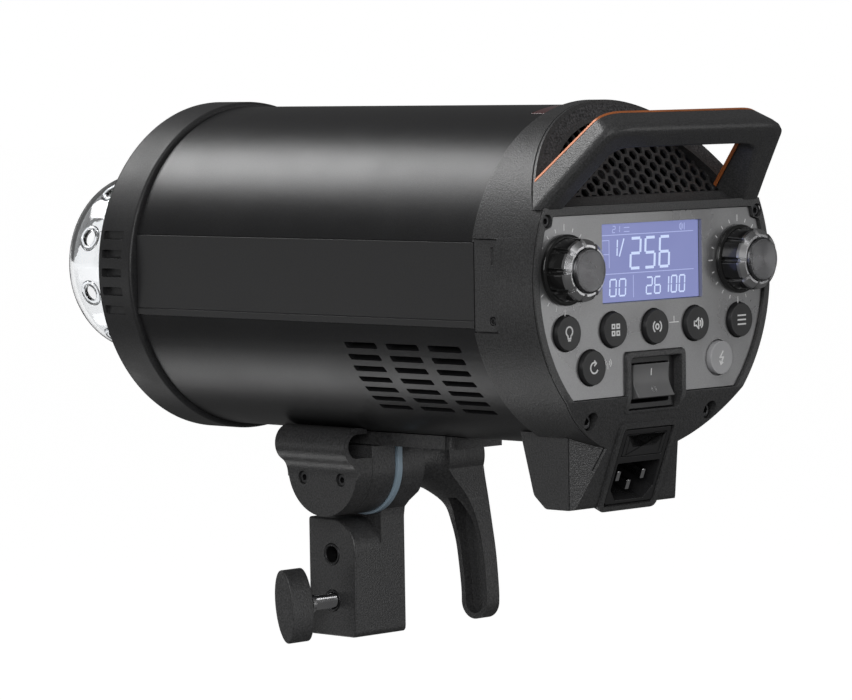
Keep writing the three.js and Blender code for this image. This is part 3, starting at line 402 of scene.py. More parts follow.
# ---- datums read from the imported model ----
tube_lo, tube_hi = span("barrel_housing")
AXIS = (tube_lo.z + tube_hi.z) / 2
TUBE_R = (tube_hi.z - tube_lo.z) / 2
ring_lo, ring_hi = span("front_ring")
RING_R = (ring_hi.z - ring_lo.z) / 2
case_lo, case_hi = span("rear_housing")
CASE_R = (case_hi.x - case_lo.x) / 2
SEAM = tube_hi.y + 1.8
CASE_FRONT = SEAM + 0.3
REAR = case_hi.y
panel_lo, panel_hi = span("control_panel")
FACE = panel_hi.y
# Heights that end in DZ or are named below are above the lamp's axis.
LEDGE = span("carry_handle")[0].z - AXIS - 0.3
HOOD_SLOPE, TAIL_SLOPE = 0.55, 0.39
TAIL_TOP = -44.4
SWITCH_DZ, INLET_DZ = -39.7, -71.4
GRILLE_R, GRILLE_FOOT = 59.5, 31.0
SCREWS = {"top": (59.5, 23.1), "low": (33.8, -52.4)}


def hood_y(dz):
    return REAR + 11.0 - HOOD_SLOPE * dz


def tail_y(dz):
    return REAR + TAIL_SLOPE * (dz - TAIL_TOP)


# ---- barrel and side bands ----
def vent_slots(r):
    """Slanted slots in both flanks: rows go down round the barrel, columns along it."""
    rows, first_angle, row_angle = 7, 23.2, 4.63
    columns, start, pitch = 3, 56.9, 22.3
    half, lean, length = 1.3, 0.9, 16.9
    slots = []
    for mirror in (False, True):
        for row in range(rows):
            turn = first_angle + row_angle * row
            for column in range(columns):
                y = start + pitch * column
                loop = fillet([(y - lean / 2, half), (y + length - lean / 2, half),
                               (y + length + lean / 2, -half), (y + lean / 2, -half)], 0.7, 3)
                slot = prism("slot", loop, "x", r - 8, r + 4)
                slots.append(moved(slot, about_axis(-(180 + turn) if mirror else turn)))
    return gather("slots", slots)


def make_barrel():
    y0, y1, r, beyond = tube_lo.y, SEAM, TUBE_R, 80
    shell = lathe("barrel_shell", [(r - 4, y0), (r - 0.5, y0), (r, y0 + 0.5), (r, y1 - 0.6),
                                   (r - 0.6, y1), (r - 4, y1)], 256, ring=True)
    cuts = []
    for side, name in SIDES:
        node = f"side_trim_{name}"
        lo, hi = span(node)
        cuts.append(box("pocket", *outward(side, depths(node)[0] - 0.1, beyond), y0 - 1, y1 + 1,
                        lo.z - 0.35, hi.z + 0.35))
    cuts.append(vent_slots(r))
    cuts.append(box("well", span("base_plate")[0].x - 0.6, 3.0, -19.5, 29.0, AXIS - beyond, AXIS - 55))
    win_lo, win_hi = span("sensor_window")
    win_y = y1 - 10.5
    cuts.append(box("window", win_lo.x - 0.2, win_hi.x + 0.2, win_y - 0.2, y1 + 5,
                    AXIS + 55, AXIS + beyond))
    carve(shell, *cuts)
    place(shell, BARREL, "barrel_housing", edge=0.28, segments=2)
    half = degrees(asin(win_hi.x / r))
    outer = arc(r + 0.05, 90 - half, 90 + half, 32, 0, AXIS)
    inner = arc(r - 3, 90 + half, 90 - half, 32, 0, AXIS)
    lens = prism("slave_window", outer + inner, "y", win_y, y1)
    place(lens, WINDOW, "sensor_window", edge=0.25)
    for side, name in SIDES:
        make_side_band(side, name)
        make_end_cover(side, name)


def make_side_band(side, name):
    node = f"side_trim_{name}"
    lo, hi = span(node)
    inner, outer = depths(node)
    proud, line, half_line = outer + 0.25, AXIS - 14.3, 0.16
    plate = box(f"side_band_{name}", *outward(side, inner, proud), lo.y - 0.1, SEAM, lo.z, hi.z)
    carve(plate, box("line", *outward(side, proud - 0.3, 80), lo.y - 2, hi.y + 4,
                     line - half_line, line + half_line))
    place(plate, BAND, node, edge=0.3)


def make_end_cover(side, name):
    node = f"side_cover_{name}"
    lo, hi = span(node)
    out = depths(node)[1]
    front, gap = SEAM + 0.55, 0.2
    screw_y, screw_z, above = 139.0, AXIS - 14.1, out + 2
    loop = fillet([(front, lo.z + gap), (hi.y, lo.z + gap), (hi.y, hi.z - gap),
                   (front, hi.z - gap)], [0.3, 1.8, 1.8, 0.3], 5)
    cover = prism(f"end_cover_{name}", loop, "x", *outward(side, out - 1.2, out))
    slot = prism("slot", slab(138.2, 139.8, AXIS + 6.8, AXIS + 13.4, 0.75), "x",
                 *outward(side, out - 0.7, above))
    sink = rod("sink", 1.75, *outward(side, out - 0.9, above), screw_y, screw_z, "x", 32)
    carve(cover, slot, sink)
    place(cover, MOULD, node, edge=0.22)
    screw = rod(f"end_screw_{name}", 1.5, *outward(side, out - 1.0, out - 0.3), screw_y, screw_z, "x", 24)
    drive = hex_drive(0.75, "x", *outward(side, out - 0.7, above), screw_y, screw_z)
    place(carve(screw, drive), DULL, edge=0.12, segments=2)


# ---- front ring, bayonet, glass dome ----
def make_ring():
    y0, y1, r, shelf = ring_lo.y, ring_hi.y, RING_R, span("bayonet_ring")[1].y + 0.3
    profile = fillet([(61.2, shelf), (61.2, y0), (r, y0), (r, y1), (61, y1),
                      (61, shelf + 3.4), (46, shelf + 3.4), (46, shelf)],
                     [0, 0.9, 2.0, 1.6, 0, 0, 0.8, 0.8], 5)
    ring = lathe("mount_ring", profile, 256, ring=True)
    cuts = []
    for side in (1, -1):
        for i in range(-2, 3):
            z = AXIS - 0.5 + i * 7.5
            loop = slab(-75.0, -63.3, z - 1.75, z + 1.75, 0.6, 3)
            cuts.append(prism("notch", loop, "x", *outward(side, r - 3.2, r + 9)))
    lo, hi = span("mount_release")
    notches = gather("notches", cuts)
    aside = about_axis(-55)
    slot = moved(prism("slot", slab(-4.8, 4.8, -72.8, -60, 0.8), "z", 60, 70), aside)
    carve(ring, notches, slot)
    place(ring, RING, "front_ring", edge=0.3)
    thumb = prism("release_catch", slab(-4.4, 4.4, lo.y, hi.y, 0.8), "z", 62, 67.4)
    ridges = [prism("ridge", slab(-2.8, 2.8, y - 0.45, y + 0.45, 0.3, 2), "z", 67, 69.2)
              for y in (lo.y + 2.4, lo.y + 4.0, lo.y + 5.6)]
    place(moved(fuse(thumb, gather("ridges", ridges)), aside), SMOOTH,
          "mount_release", "mount_release_body", edge=0.25)
    keep("bayonet_ring", STEEL, 0.3)
    seat_lo, seat_hi = span("lamp_socket")
    seat_r = (seat_hi.x - seat_lo.x) / 2
    seat = lathe("lamp_seat", fillet([(0, seat_lo.y), (seat_r, seat_lo.y), (seat_r, seat_hi.y),
                                      (0, seat_hi.y)], [0, 1.2, 0.5, 0]), 96)
    place(seat, CERAMIC, "lamp_socket")


def make_dome():
    dome_lo, dome_hi = span("glass_dome")
    dome_r, tip, foot = dome_hi.x, dome_lo.y, dome_hi.y
    power, rise, steps = 2.5, 21.0, 20

    def outer_curve(radius, height, front):
        pts = []
        for i in range(steps + 1):
            a = TAU / 4 * i / steps
            pts.append((radius * cos(a) ** (2 / power) if i < steps else 0.0,
                        front + height * (1 - sin(a) ** (2 / power))))
        return pts

    wall = 1.7
    outer = [(dome_r, foot)] + outer_curve(dome_r, rise, tip)
    inner = outer_curve(dome_r - wall, rise - wall, tip + wall)[::-1] + [(dome_r - wall, foot)]
    dome = lathe("dome_glass", outer + inner, 128, ring=True)
    ports, lips = [], []
    for i in range(10):
        turn = about_axis(-(18 + 36 * i), -118)
        ports.append(moved(rod("port", 3.3, dome_r - 8, dome_r + 6, 0, 0, "x", 40), turn))
        lip = lathe("lip", arc(1.25, 0, 330, 11, 4.3, dome_r - 0.8), 48, 0, 0, True, "x")
        lips.append(moved(lip, turn))
    carve(dome, gather("ports", ports))
    place(dome, GLASS, "glass_dome")
    place(gather("dome_lips", lips), GLASS)


def make_lamps():
    flash_lo, flash_hi = span("flash_tube")
    hoop_y, hoop_r = flash_lo.y + 3.6, 23.0
    hoop = lathe("xenon_ring", arc(3.5, 0, 345, 23, hoop_r, hoop_y), 96, ring=True)
    legs = [rod("leg", 3.2, hoop_y, flash_hi.y, x, AXIS, "y", 24) for x in (hoop_r, -hoop_r)]
    place(fuse(hoop, *legs), FROST, "flash_tube", angle=60)
    lamp_lo, lamp_hi = span("modelling_lamp")
    bulb = lathe("modelling_bulb", [(0, lamp_hi.y), (13, lamp_hi.y)]
                 + fillet([(13, lamp_hi.y), (13, -78), (10.5, -84), (8, -99), (4, -103.6),
                           (0, lamp_lo.y)], 2.5, 4, False), 64)
    place(bulb, FROST, "modelling_lamp")


# ---- rear housing ----
def side_outline(inset):
    """The case seen from the side, as (y, height above the lamp's axis)."""
    front, top = CASE_FRONT - (1 if inset else 0), 75
    return [(front, -top), (tail_y(-top) - inset, -top), (REAR - inset, TAIL_TOP - inset * 0.2),
            (REAR - inset, LEDGE - inset), (hood_y(LEDGE) - inset * 1.1, LEDGE - inset),
            (hood_y(top) - inset * 1.1, top), (front, top)]


def panel_outline(inset):
    """The panel's face, with a bite for the switch and corners cut round the top screws."""
    r, top, low = 63.6 - inset, 24.6 - inset, -43.8 + inset
    (sx, sz), gap = SCREWS["top"], 3.6 + inset
    bite, bite_top = 16.7 + inset, -27.4 + min(inset, 0.9)
    a0 = degrees(asin(low / r))
    a1 = degrees(asin((sz - gap) / r))
    right = [(bite, bite_top), (bite, low)] + arc(r, a0, a1, 24)
    right += [(sx - gap * 0.7, sz - gap * 0.7), (sx - gap, top)]
    return raised(right + [(-x, dz) for x, dz in reversed(right)])


def tail_frame(dz):
    """A frame whose +Y stands out of the sloping face below the panel."""
    tilt = -atan(TAIL_SLOPE)
    at = Matrix.Translation(Vector((0, tail_y(dz), AXIS + dz)) * MM)
    return at @ Matrix.Rotation(tilt, 4, "X")


def make_pod():
    """The block under the panel that holds the inlet."""
    foot, shoulder, waist = 30, 145, 18.5
    half = [(foot, 116), (foot, shoulder), (waist, 157.5), (waist, 175)]
    plan = half + [(-x, y) for x, y in reversed(half)]
    plan = fillet(plan, [0, 0.8, 1.2, 0, 0, 1.2, 0.8, 0], 3)
    pod = prism("pod", plan, "z", AXIS - 89, AXIS - 50)
    low, high = -87, -46
    slope = [(116, high), (120.4, -58), (127, -82), (133, low), (tail_y(low), low), (tail_y(high), high)]
    slope = fillet(raised(slope), [0, 0, 4, 3, 3, 0], 6)
    carve(pod, prism("slope", slope, "x", -60, 60), how="INTERSECT")
    return carve(pod, rod("clear", TUBE_R + 0.4, 100, CASE_FRONT, 0, AXIS, "y", 256))


def inlet_prism(name, half_w, half_h, r, a, b):
    """A rounded block set square to the sloping face, from depth a to height b."""
    return moved(prism(name, slab(-half_w, half_w, -half_h, half_h, r), "y", a, b), tail_frame(INLET_DZ))


def case_openings():
    beyond = REAR + 9
    room = rod("room", CASE_R - 5.5, CASE_FRONT - 1, REAR, 0, AXIS, "y", 128)
    carve(room, across("inside", side_outline(4.0)), how="INTERSECT")
    low = degrees(asin(GRILLE_FOOT / GRILLE_R))
    vent = prism("vent", arc(GRILLE_R, low, 180 - low, 64, 0, AXIS), "y", CASE_FRONT, REAR + 15)
    seat = prism("seat", fillet(panel_outline(-0.3), 1.2, 2), "y", FACE - 2.0, beyond)
    hollow = prism("hollow", panel_outline(3), "y", REAR - 12, beyond)
    z = AXIS + SWITCH_DZ
    switch = prism("switch", slab(-14.3, 14.3, z - 10.0, z + 10.0, 1.2), "y", REAR - 17, beyond)
    inlet = inlet_prism("inlet", 14.2, 16.2, 1.6, -19, 9)
    grooves = [prism("groove", [(side * 31, 144.4), (side * 31, 145.6), (side * 29.2, 145)],
                     "z", AXIS - 92, AXIS - 56) for side in (1, -1)]
    cuts = [room, vent, seat, hollow, switch, inlet, *grooves]
    for side, name in SIDES:
        for (x, dz), y, r in ((SCREWS["top"], FACE - 4, 2.6), (SCREWS["low"], REAR - 8.5, 3.5)):
            cuts.append(rod("sink", r, y, REAR + 2, side * x, AXIS + dz, "y", 48))
        lo, hi = span(f"side_cover_{name}")
        near = depths(f"side_cover_{name}")[0] - 0.1
        cuts.append(box("recess", *outward(side, near, 90), CASE_FRONT - 2, hi.y + 0.3,
                        lo.z - 0.3, hi.z + 0.3))
    return cuts


def parting_groove():
    """The shallow line that follows the case's rear edge round its outside."""
    line = carve(across("line", side_outline(0.75)), across("within", side_outline(1.2), 91))
    r0, r1, front, rear = CASE_R - 0.5, CASE_R + 9, CASE_FRONT - 5, REAR + 20
    shell = lathe("shell", [(r0, front), (r1, front), (r1, rear), (r0, rear)], 256, ring=True)
    return carve(shell, line, how="INTERSECT")


def make_housing():
    profile = fillet([(0, CASE_FRONT), (CASE_R, CASE_FRONT), (CASE_R, REAR + 12), (0, REAR + 12)],
                     [0, 0.9, 0, 0], 3)
    case = lathe("rear_case", profile, 256)
    carve(case, across("side", side_outline(0)), how="INTERSECT")
    fuse(case, make_pod())
    carve(case, *case_openings())
    carve(case, parting_groove())
    rim = inlet_prism("frame", 16.4, 18.2, 3.2, -5, 1.1)
    fuse(case, carve(rim, inlet_prism("frame_hole", 14.2, 16.2, 1.6, -9, 9)))
    place(case, MOULD, "rear_housing", edge=0.55)
    # The hood's flat face has a coarser speckle: a thin skin set on it.
    edge, sunk, proud = 1.4, 0.2, 0.06
    low = degrees(asin((LEDGE + edge) / (CASE_R - edge)))
    low_in = degrees(asin((GRILLE_FOOT + 0.5) / (GRILLE_R + edge)))
    loop = arc(CASE_R - edge, low, 180 - low, 72, 0, AXIS)
    loop += arc(GRILLE_R + edge, 180 - low_in, low_in, 72, 0, AXIS)
    face = prism("hood_face", loop, "y", REAR - 40, REAR + 12)
    layer = [(hood_y(20) - sunk, 20), (hood_y(20) + proud, 20), (hood_y(75) + proud, 75),
             (hood_y(75) - sunk, 75)]
    carve(face, across("layer", layer), how="INTERSECT")
    place(face, HOOD)


def make_grille():
    lo, hi = span("air_grille")
    mid = (lo.z + hi.z) / 2 - AXIS
    lean = atan(HOOD_SLOPE)
    pitch, half_t = 5.1, 0.7
    step = pitch * sqrt(3) / 2
    outer, inner = pitch / sqrt(3), 2.22
    verts, faces = [], []
    for column in range(-14, 15):
        for row in range(-5, 6):
            x, s = column * step, (row + (0.5 if column % 2 else 0)) * pitch
            dz = mid + s * cos(lean)
            if hypot(x, dz) > 63 or not 28 < dz < 64:
                continue
            first = len(verts)
            verts += [(x + r * cos(TAU * k / 6), y, s + r * sin(TAU * k / 6))
                      for y in (half_t, -half_t) for r in (outer, inner) for k in range(6)]
            o0, i0, o1, i1 = (first + 6 * ring for ring in range(4))
            for k in range(6):
                m = (k + 1) % 6
                faces += [(o0 + k, o0 + m, i0 + m, i0 + k), (o1 + m, o1 + k, i1 + k, i1 + m),
                          (i0 + k, i0 + m, i1 + m, i1 + k)]
    grille = build("honeycomb", verts, faces)
    moved(grille, Matrix.Translation(Vector((0, hood_y(mid) - 5, AXIS + mid)) * MM)
          @ Matrix.Rotation(lean, 4, "X"))
    place(grille, MESH, "air_grille", edge=0.18, segments=2)


# ---- carry handle ----
# Four rails run up each leg and over the bar: front outer, rear outer, rear inner, front inner.
def handle_rails():
    bar = [(44.3, FACE + 15.3, 63.1), (50.5, FACE + 26.7, 56.7), (40, FACE + 17.9, 49.2),
           (37.5, FACE + 10.7, 51.5)]
    foot = [(57, FACE - 14.7, 32.8), (64.5, FACE - 2.2, 23.5), (54, FACE - 2.2, 22),
            (46, FACE - 14.7, 26)]
    return [(Vector(f), Vector(b)) for f, b in zip(foot, bar)]


def handle_stations():
    rounds, leg_ease, bar_ease = 12, 0.12, 0.25
    half = []
    for foot, corner in handle_rails():
        start = foot.lerp(corner, 1 - leg_ease)
        end = Vector((corner.x * (1 - bar_ease), corner.y, corner.z))
        path = [foot, foot.lerp(start, 0.5)]
        path += [bend(start, corner, end, i / rounds) for i in range(rounds + 1)]
        path += [Vector((end.x * 0.5, end.y, end.z)), Vector((0, corner.y, corner.z))]
        half.append(path)
    stations = list(zip(*half))
    mirror = [tuple(Vector((-p.x, p.y, p.z)) for p in s) for s in reversed(stations[:-1])]
    return stations + mirror


def handle_layer(name, front, back, radii):
    rings = []
    for fo, ro, ri, fi in handle_stations():
        out, into = (ro - fo).normalized(), (ri - fi).normalized()
        a, d = fo + out * front, fi + into * front
        b, c = (ro, ri) if back is None else (fo + out * back, fi + into * back)
        loop = fillet([a, b, c, d], radii, 4)
        rings.append([(x, y, z + AXIS) for x, y, z in loop])
    sunk, beyond, above = 0.6, 230, 120
    low = LEDGE - sunk
    air = [(beyond, low), (beyond, above), (hood_y(above) - sunk, above), (hood_y(LEDGE) - sunk, low)]
    return carve(skin(name, rings), across("air", air, 95), how="INTERSECT")


def make_handle():
    trim = 1.5
    grip = handle_layer("grab_handle", trim, None, [0.5, 3.4, 2.6, 1.2])
    place(grip, MOULD, "carry_handle")
    stripe = handle_layer("handle_stripe", 0, trim, [0.45, 0.1, 0.1, 0.45])
    place(stripe, COPPER, "handle_trim")


# ---- control panel ----
LCD_FACE = FACE - 1.7
DIALS = ["dial_left", "dial_right"]
BUTTONS = ["lamp_button", "group_button", "slave_button", "sound_button", "menu_button",
           "mode_button", "test_button"]


def ink(name, strokes, x, z, y, body="lamp", width=0.5, look=INK):
    """Printed lines. Strokes are drawn as the operator sees them: u to the right, v up."""
    parts = []
    for line in strokes:
        for (u0, v0), (u1, v1) in zip(line, line[1:]):
            d = Vector((u1 - u0, v1 - v0))
            if d.length < 1e-6:
                continue
            d.normalize()
            n = Vector((-d.y, d.x)) * width / 2
            e = d * width * 0.42
            loop = [(u0 - e.x + n.x, v0 - e.y + n.y), (u0 - e.x - n.x, v0 - e.y - n.y),
                    (u1 + e.x - n.x, v1 + e.y - n.y), (u1 + e.x + n.x, v1 + e.y + n.y)]
            parts.append(prism("line", [(x - u, z + v) for u, v in loop], "y", y - 0.1,
                               y + 0.05 + 0.002 * (len(parts) % 5)))
    o = gather(name, parts)
    shade(o, look)
    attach(o, body)
    return o


def square(u0, u1, v0, v1):
    return [(u0, v1), (u1, v1), (u1, v0), (u0, v0), (u0, v1)]


# Each button's strokes, in mm from its centre, as the operator sees them.
ICONS = {
    "lamp_button": [arc(1.75, -60, 240, 24, 0, 0.7), [(-0.85, -0.9), (-0.7, -1.9)],
                    [(0.85, -0.9), (0.7, -1.9)], [(-0.7, -1.9), (0.7, -1.9)],
                    [(-0.5, -2.6), (0.5, -2.6)]],
    "group_button": [square(u0, u1, v0, v1) for v0, v1 in ((0.6, 2), (-2, -0.6))
                     for u0, u1 in ((-2, -0.6), (0.6, 2))],
    "slave_button": [arc(0.9), arc(2.3, -50, 50, 10), arc(2.3, 130, 230, 10)],
    "sound_button": [[(-2.2, 0.8), (-1.1, 0.8), (0.3, 2.0), (0.3, -2.0), (-1.1, -0.8),
                      (-2.2, -0.8), (-2.2, 0.8)], arc(1.3, -45, 45, 6, 0.3), arc(2.3, -45, 45, 8, 0.3)],
    "menu_button": [[(-2.2, v), (2.2, v)] for v in (1.7, 0, -1.7)],
    "mode_button": [arc(2.0, 60, 330, 20), [(0.2, 2.6), (1.1, 1.7), (0.2, 0.9)]],
    "test_button": [[(0.7, 2.4), (-1.0, 0.1), (0.9, 0.1), (-0.6, -2.5)],
                    [(-1.2, -1.3), (-0.6, -2.5), (0.5, -1.9)]],
}
SEGMENTS = {"0": "abcdef", "1": "bc", "2": "abged", "5": "afgcd", "6": "afgedc"}


def digit_lines(text, u, v, w, h, gap):
    """Slanted seven-segment digits from their lower left corner."""
    lines = []
    trim = 0.14 * w
    ends = {"a": ((0, h), (w, h)), "b": ((w, h), (w, h / 2)), "c": ((w, h / 2), (w, 0)),
            "d": ((0, 0), (w, 0)), "e": ((0, h / 2), (0, 0)), "f": ((0, h), (0, h / 2)),
            "g": ((0, h / 2), (w, h / 2))}
    for ch in text:
        if ch == "/":
            lines.append([(u, v), (u + w * 0.9, v + h)])
        for s in SEGMENTS.get(ch, ""):
            p, q = (Vector(e) for e in ends[s])
            d = (q - p).normalized() * trim
            lines.append([tuple(e + Vector((u + 0.06 * e.y, v))) for e in (p + d, q - d)])
        u += w + gap
    return lines


def make_panel():
    plate = prism("fascia_plate", fillet(panel_outline(0), 0.8, 2), "y", panel_lo.y, FACE)
    lcd_lo, lcd_hi = span("lcd_screen")
    gap, through = 0.2, (FACE - 9, FACE + 9)
    cuts = [prism("lcd_hole", slab(lcd_lo.x - gap, lcd_hi.x + gap, lcd_lo.z - gap,
                                   lcd_hi.z + gap, 0.4, 2), "y", *through)]
    for nodes, r, sides in ((DIALS, 4.4, 48), (BUTTONS, 6.95, 64)):
        for c in map(centre, nodes):
            cuts.append(rod("hole", r, *through, c.x, c.z, "y", sides))
    carve(plate, gather("holes", cuts))
    place(plate, FASCIA, "control_panel", edge=0.22)
    screen = prism("lcd_window", slab(lcd_lo.x, lcd_hi.x, lcd_lo.z, lcd_hi.z, 0.3, 2), "y",
                   lcd_lo.y, LCD_FACE)
    place(screen, LCD, "lcd_screen")


def make_keys():
    for node in BUTTONS:
        lo, hi = span(node)
        c = (lo + hi) / 2
        r, flange_r, flange, top = 6.45, 7.6, lo.y + 1.8, hi.y
        profile = [(0, lo.y), (flange_r, lo.y), (flange_r, flange), (r, flange), (r, top - 0.8)]
        profile += fillet([(r, top - 0.8), (r, top), (r - 1.2, top), (0, top - 0.15)],
                          [0, 0.7, 0, 0], 5, False)[1:]
        cap = lathe(node.replace("button", "key"), profile, 64, c.x, c.z)
        look = KEY_GREY if node == "test_button" else KEY
        place(cap, look, node, node + "_body")
        ink(node.replace("button", "icon"), ICONS[node], c.x, c.z, top - 0.06, node + "_body",
            0.6)


def make_marks():
    for node in DIALS:
        c, ticks, marks = centre(node), 20, []
        for i in range(ticks):
            a = rad(90 + i * 360 / ticks)
            outer = 16.8 if i % 5 == 0 else 15.7
            marks.append([(k * cos(a), k * sin(a)) for k in (14.6, outer)])
        ink(node + "_scale", marks, c.x, c.z, FACE, width=0.42)
    c = centre("mode_button")
    mast = [[(0, 0.4), (0, -1.6)]]
    mast += [arc(wave, a, a + 100, steps, u, 0.6) for a, u in ((-50, 0.3), (130, -0.3))
             for wave, steps in ((0.9, 5), (1.7, 6))]
    ink("radio_mark", mast, c.x - 9.6, c.z + 0.6, FACE, width=0.3)
    s, n = centre("slave_button"), centre("sound_button")
    ink("reset_mark", [[(-2.6, 0), (2.6, 0)], [(0, 0), (0, 2.2)]], (s.x + n.x) / 2, s.z + 1.0,
        FACE, width=0.35)


def lcd_ink(name, lines, width, look):
    """Lit lines on the screen, drawn from the middle of its lower edge."""
    ink(name, lines, centre("lcd_screen").x, span("lcd_screen")[0].z, LCD_FACE, width=width,
        look=look)


def make_readout():
    lcd_ink("lcd_power", digit_lines("256", -10.8, 12.3, 5.4, 11.2, 2.8), 1.05, DIGIT)
    small = []
    for text, u, v, w, gap in (("1/", -21.0, 17.2, 2.8, 1.4), ("00", -22.6, 2.3, 3.5, 1.8),
                               ("26", -2.0, 2.3, 3.2, 1.5), ("100", 7.6, 2.3, 3.0, 1.6)):
        small += digit_lines(text, u, v, w, 6.2, gap)
    lcd_ink("lcd_values", small, 0.62, DIGIT)
    lines = [[(-27, 10.6), (25.2, 10.6)], [(-27, 25.1), (25.2, 25.1)], [(-9.2, 1.5), (-9.2, 9.6)],
             [(-26.6, 13), (-26.6, 23.2), (-22.6, 23.2), (-22.6, 13)],
             [(-26.6, 18), (-22.6, 18)]]
    lines += digit_lines("21", -20.6, 26.0, 1.5, 2.4, 1.0)
    lines += [[(17.5, 26.4), (17.5, 27.6), (18.4, 28.3), (18.4, 25.7), (17.5, 26.4)],
              [(19.3, 26.2), (19.3, 27.8)], [(20.2, 25.8), (20.2, 28.2)],
              [(-14, 26.2), (-11.2, 26.2)], [(-14, 27.7), (-11.2, 27.7)]]
    lcd_ink("lcd_marks", lines, 0.3, FAINT)


def scalloped(r, depth, count, width, sides=8):
    """A round outline with evenly spaced notches; width is a notch's share of its pitch."""
    pts = []
    for i in range(count):
        a0, pitch = 360 * i / count, 360 / count
        w = pitch * width
        pts += [(r, a0 + w / 2 + (pitch - w) * k / sides) for k in range(sides + 1)]
        pts += [(r - depth, a0 + pitch - w * 0.28), (r - depth, a0 + pitch + w * 0.28)]
    return pts


def make_dials():
    for node in DIALS:
        c, foot, skirt_r = centre(node), FACE + 0.3, 13.2
        body = node + "_body"
        skirt = lathe(node + "_skirt", fillet(
            [(0, foot), (skirt_r, foot), (skirt_r, foot + 1.5), (12.3, foot + 2.0),
             (0, foot + 2.0)], [0, 0.3, 0.5, 0.3, 0], 3), 96, c.x, c.z)
        fuse(skirt, rod("stem", 3, span(node)[0].y, foot + 1, c.x, c.z, "y", 32))
        place(skirt, KNOB, body=body)
        outline = scalloped(12.1, 1.0, 9, 0.26)

        def ring(y, shrink):
            return [(c.x + (r - shrink) * cos(rad(a)), y, c.z + (r - shrink) * sin(rad(a)))
                    for r, a in outline]

        grip = skin(node + "_grip", [ring(foot + 1.9, 0), ring(foot + 9.0, 0.5)])
        place(grip, KNOB, node, body, edge=0.3, angle=35)
        bevel = skin(node + "_rim", [ring(foot + 9.0, 0.45), ring(foot + 10.0, 0.75),
                                     ring(foot + 11.6, 2.6)])
        well = rod("well", 8.6, foot + 9.6, foot + 14, c.x, c.z, "y", 64)
        place(carve(bevel, well), RIM, body=body, edge=0.2, angle=35)
        back, front = (corner.y for corner in span(node + "_cap"))
        look = finish(node + "_spun", (0.16, 0.16, 0.165), 0.26, 0.25, 0.25, metal=1.0, spun=(c.x, c.z))
        cap = lathe(node + "_disc", [(0, back)] + fillet(
            [(0, back), (8.35, back), (8.35, front - 0.5), (7.7, front), (6.9, front - 0.12),
             (0, front - 0.35)], [0, 0, 0.3, 0.25, 0.3, 0], 4, False), 96, c.x, c.z)
        place(cap, look, node + "_cap", body)


def make_switch():
    lo, hi = span("rocker_bezel")
    z = (lo.z + hi.z) / 2
    half_w = span("power_rocker")[1].x
    bezel = prism("switch_bezel", slab(lo.x, hi.x, lo.z, hi.z, 1.0), "y", lo.y, hi.y)
    hole = prism("hole", slab(-half_w - 0.5, half_w + 0.5, z - 7.4, z + 7.4, 0.5), "y",
                 lo.y + 1.5, hi.y + 5)
    place(carve(bezel, hole), SMOOTH, "rocker_bezel", edge=0.35)
    # The raised lip round the switch, open where the case slopes away below it.
    lip = prism("switch_lip", slab(-16.6, 16.6, z - 11.2, z + 12.1, 2.2), "y", REAR - 5, REAR + 0.25)
    lip_hole = prism("lip_hole", slab(-14.4, 14.4, z - 10.0, z + 10.1, 1.3), "y", REAR - 9, REAR + 4)
    low, inner, proud = TAIL_TOP - 20, REAR - 9, 0.35
    slope = [(inner, low), (tail_y(low) + proud, low), (REAR + proud, TAIL_TOP),
             (REAR + proud, 0), (inner, 0)]
    carve(carve(lip, lip_hole), across("below", slope, 30), how="INTERSECT")
    place(lip, MOULD, edge=0.3)
    h, hinge, rest_angle, steps = 6.35, REAR - 5.7, 11.5, 12
    curve = []
    for i in range(steps + 1):
        t = -1 + 2 * i / steps
        curve.append((3.0 + 1.8 * abs(t) ** 1.7, t * h))
    loop = curve + [(0.5, h), (-3.5, 4), (-5, 0), (-3.5, -4), (0.5, -h)]
    rocker = prism("switch_rocker", loop, "x", -half_w, half_w)
    turn_x(rocker, rest_angle, hinge, z)
    # The rocker's dark grey is partly its own black and partly painted reflection.
    place(rocker, ROCKER_PAINTED_REFLECTION, "power_rocker", "power_rocker_body", edge=0.45)
    film = [(y + 0.07, w) for y, w in curve] + [(y - 0.3, w) for y, w in reversed(curve)]
    bar = prism("bar", slab(-0.25, 0.25, 2.0, 4.6), "y", 2, 6)
    hoop = carve(rod("hoop", 1.3, 2, 6, 0, -3.3, "y", 32), rod("hole", 0.8, 1.5, 7, 0, -3.3, "y", 32))
    marks = [carve(o, prism("film", film, "x", -4, 4), how="INTERSECT") for o in (bar, hoop)]
    marks = gather("switch_marks", marks)
    turn_x(marks, rest_angle, hinge, z)
    place(marks, INK, body="power_rocker_body")


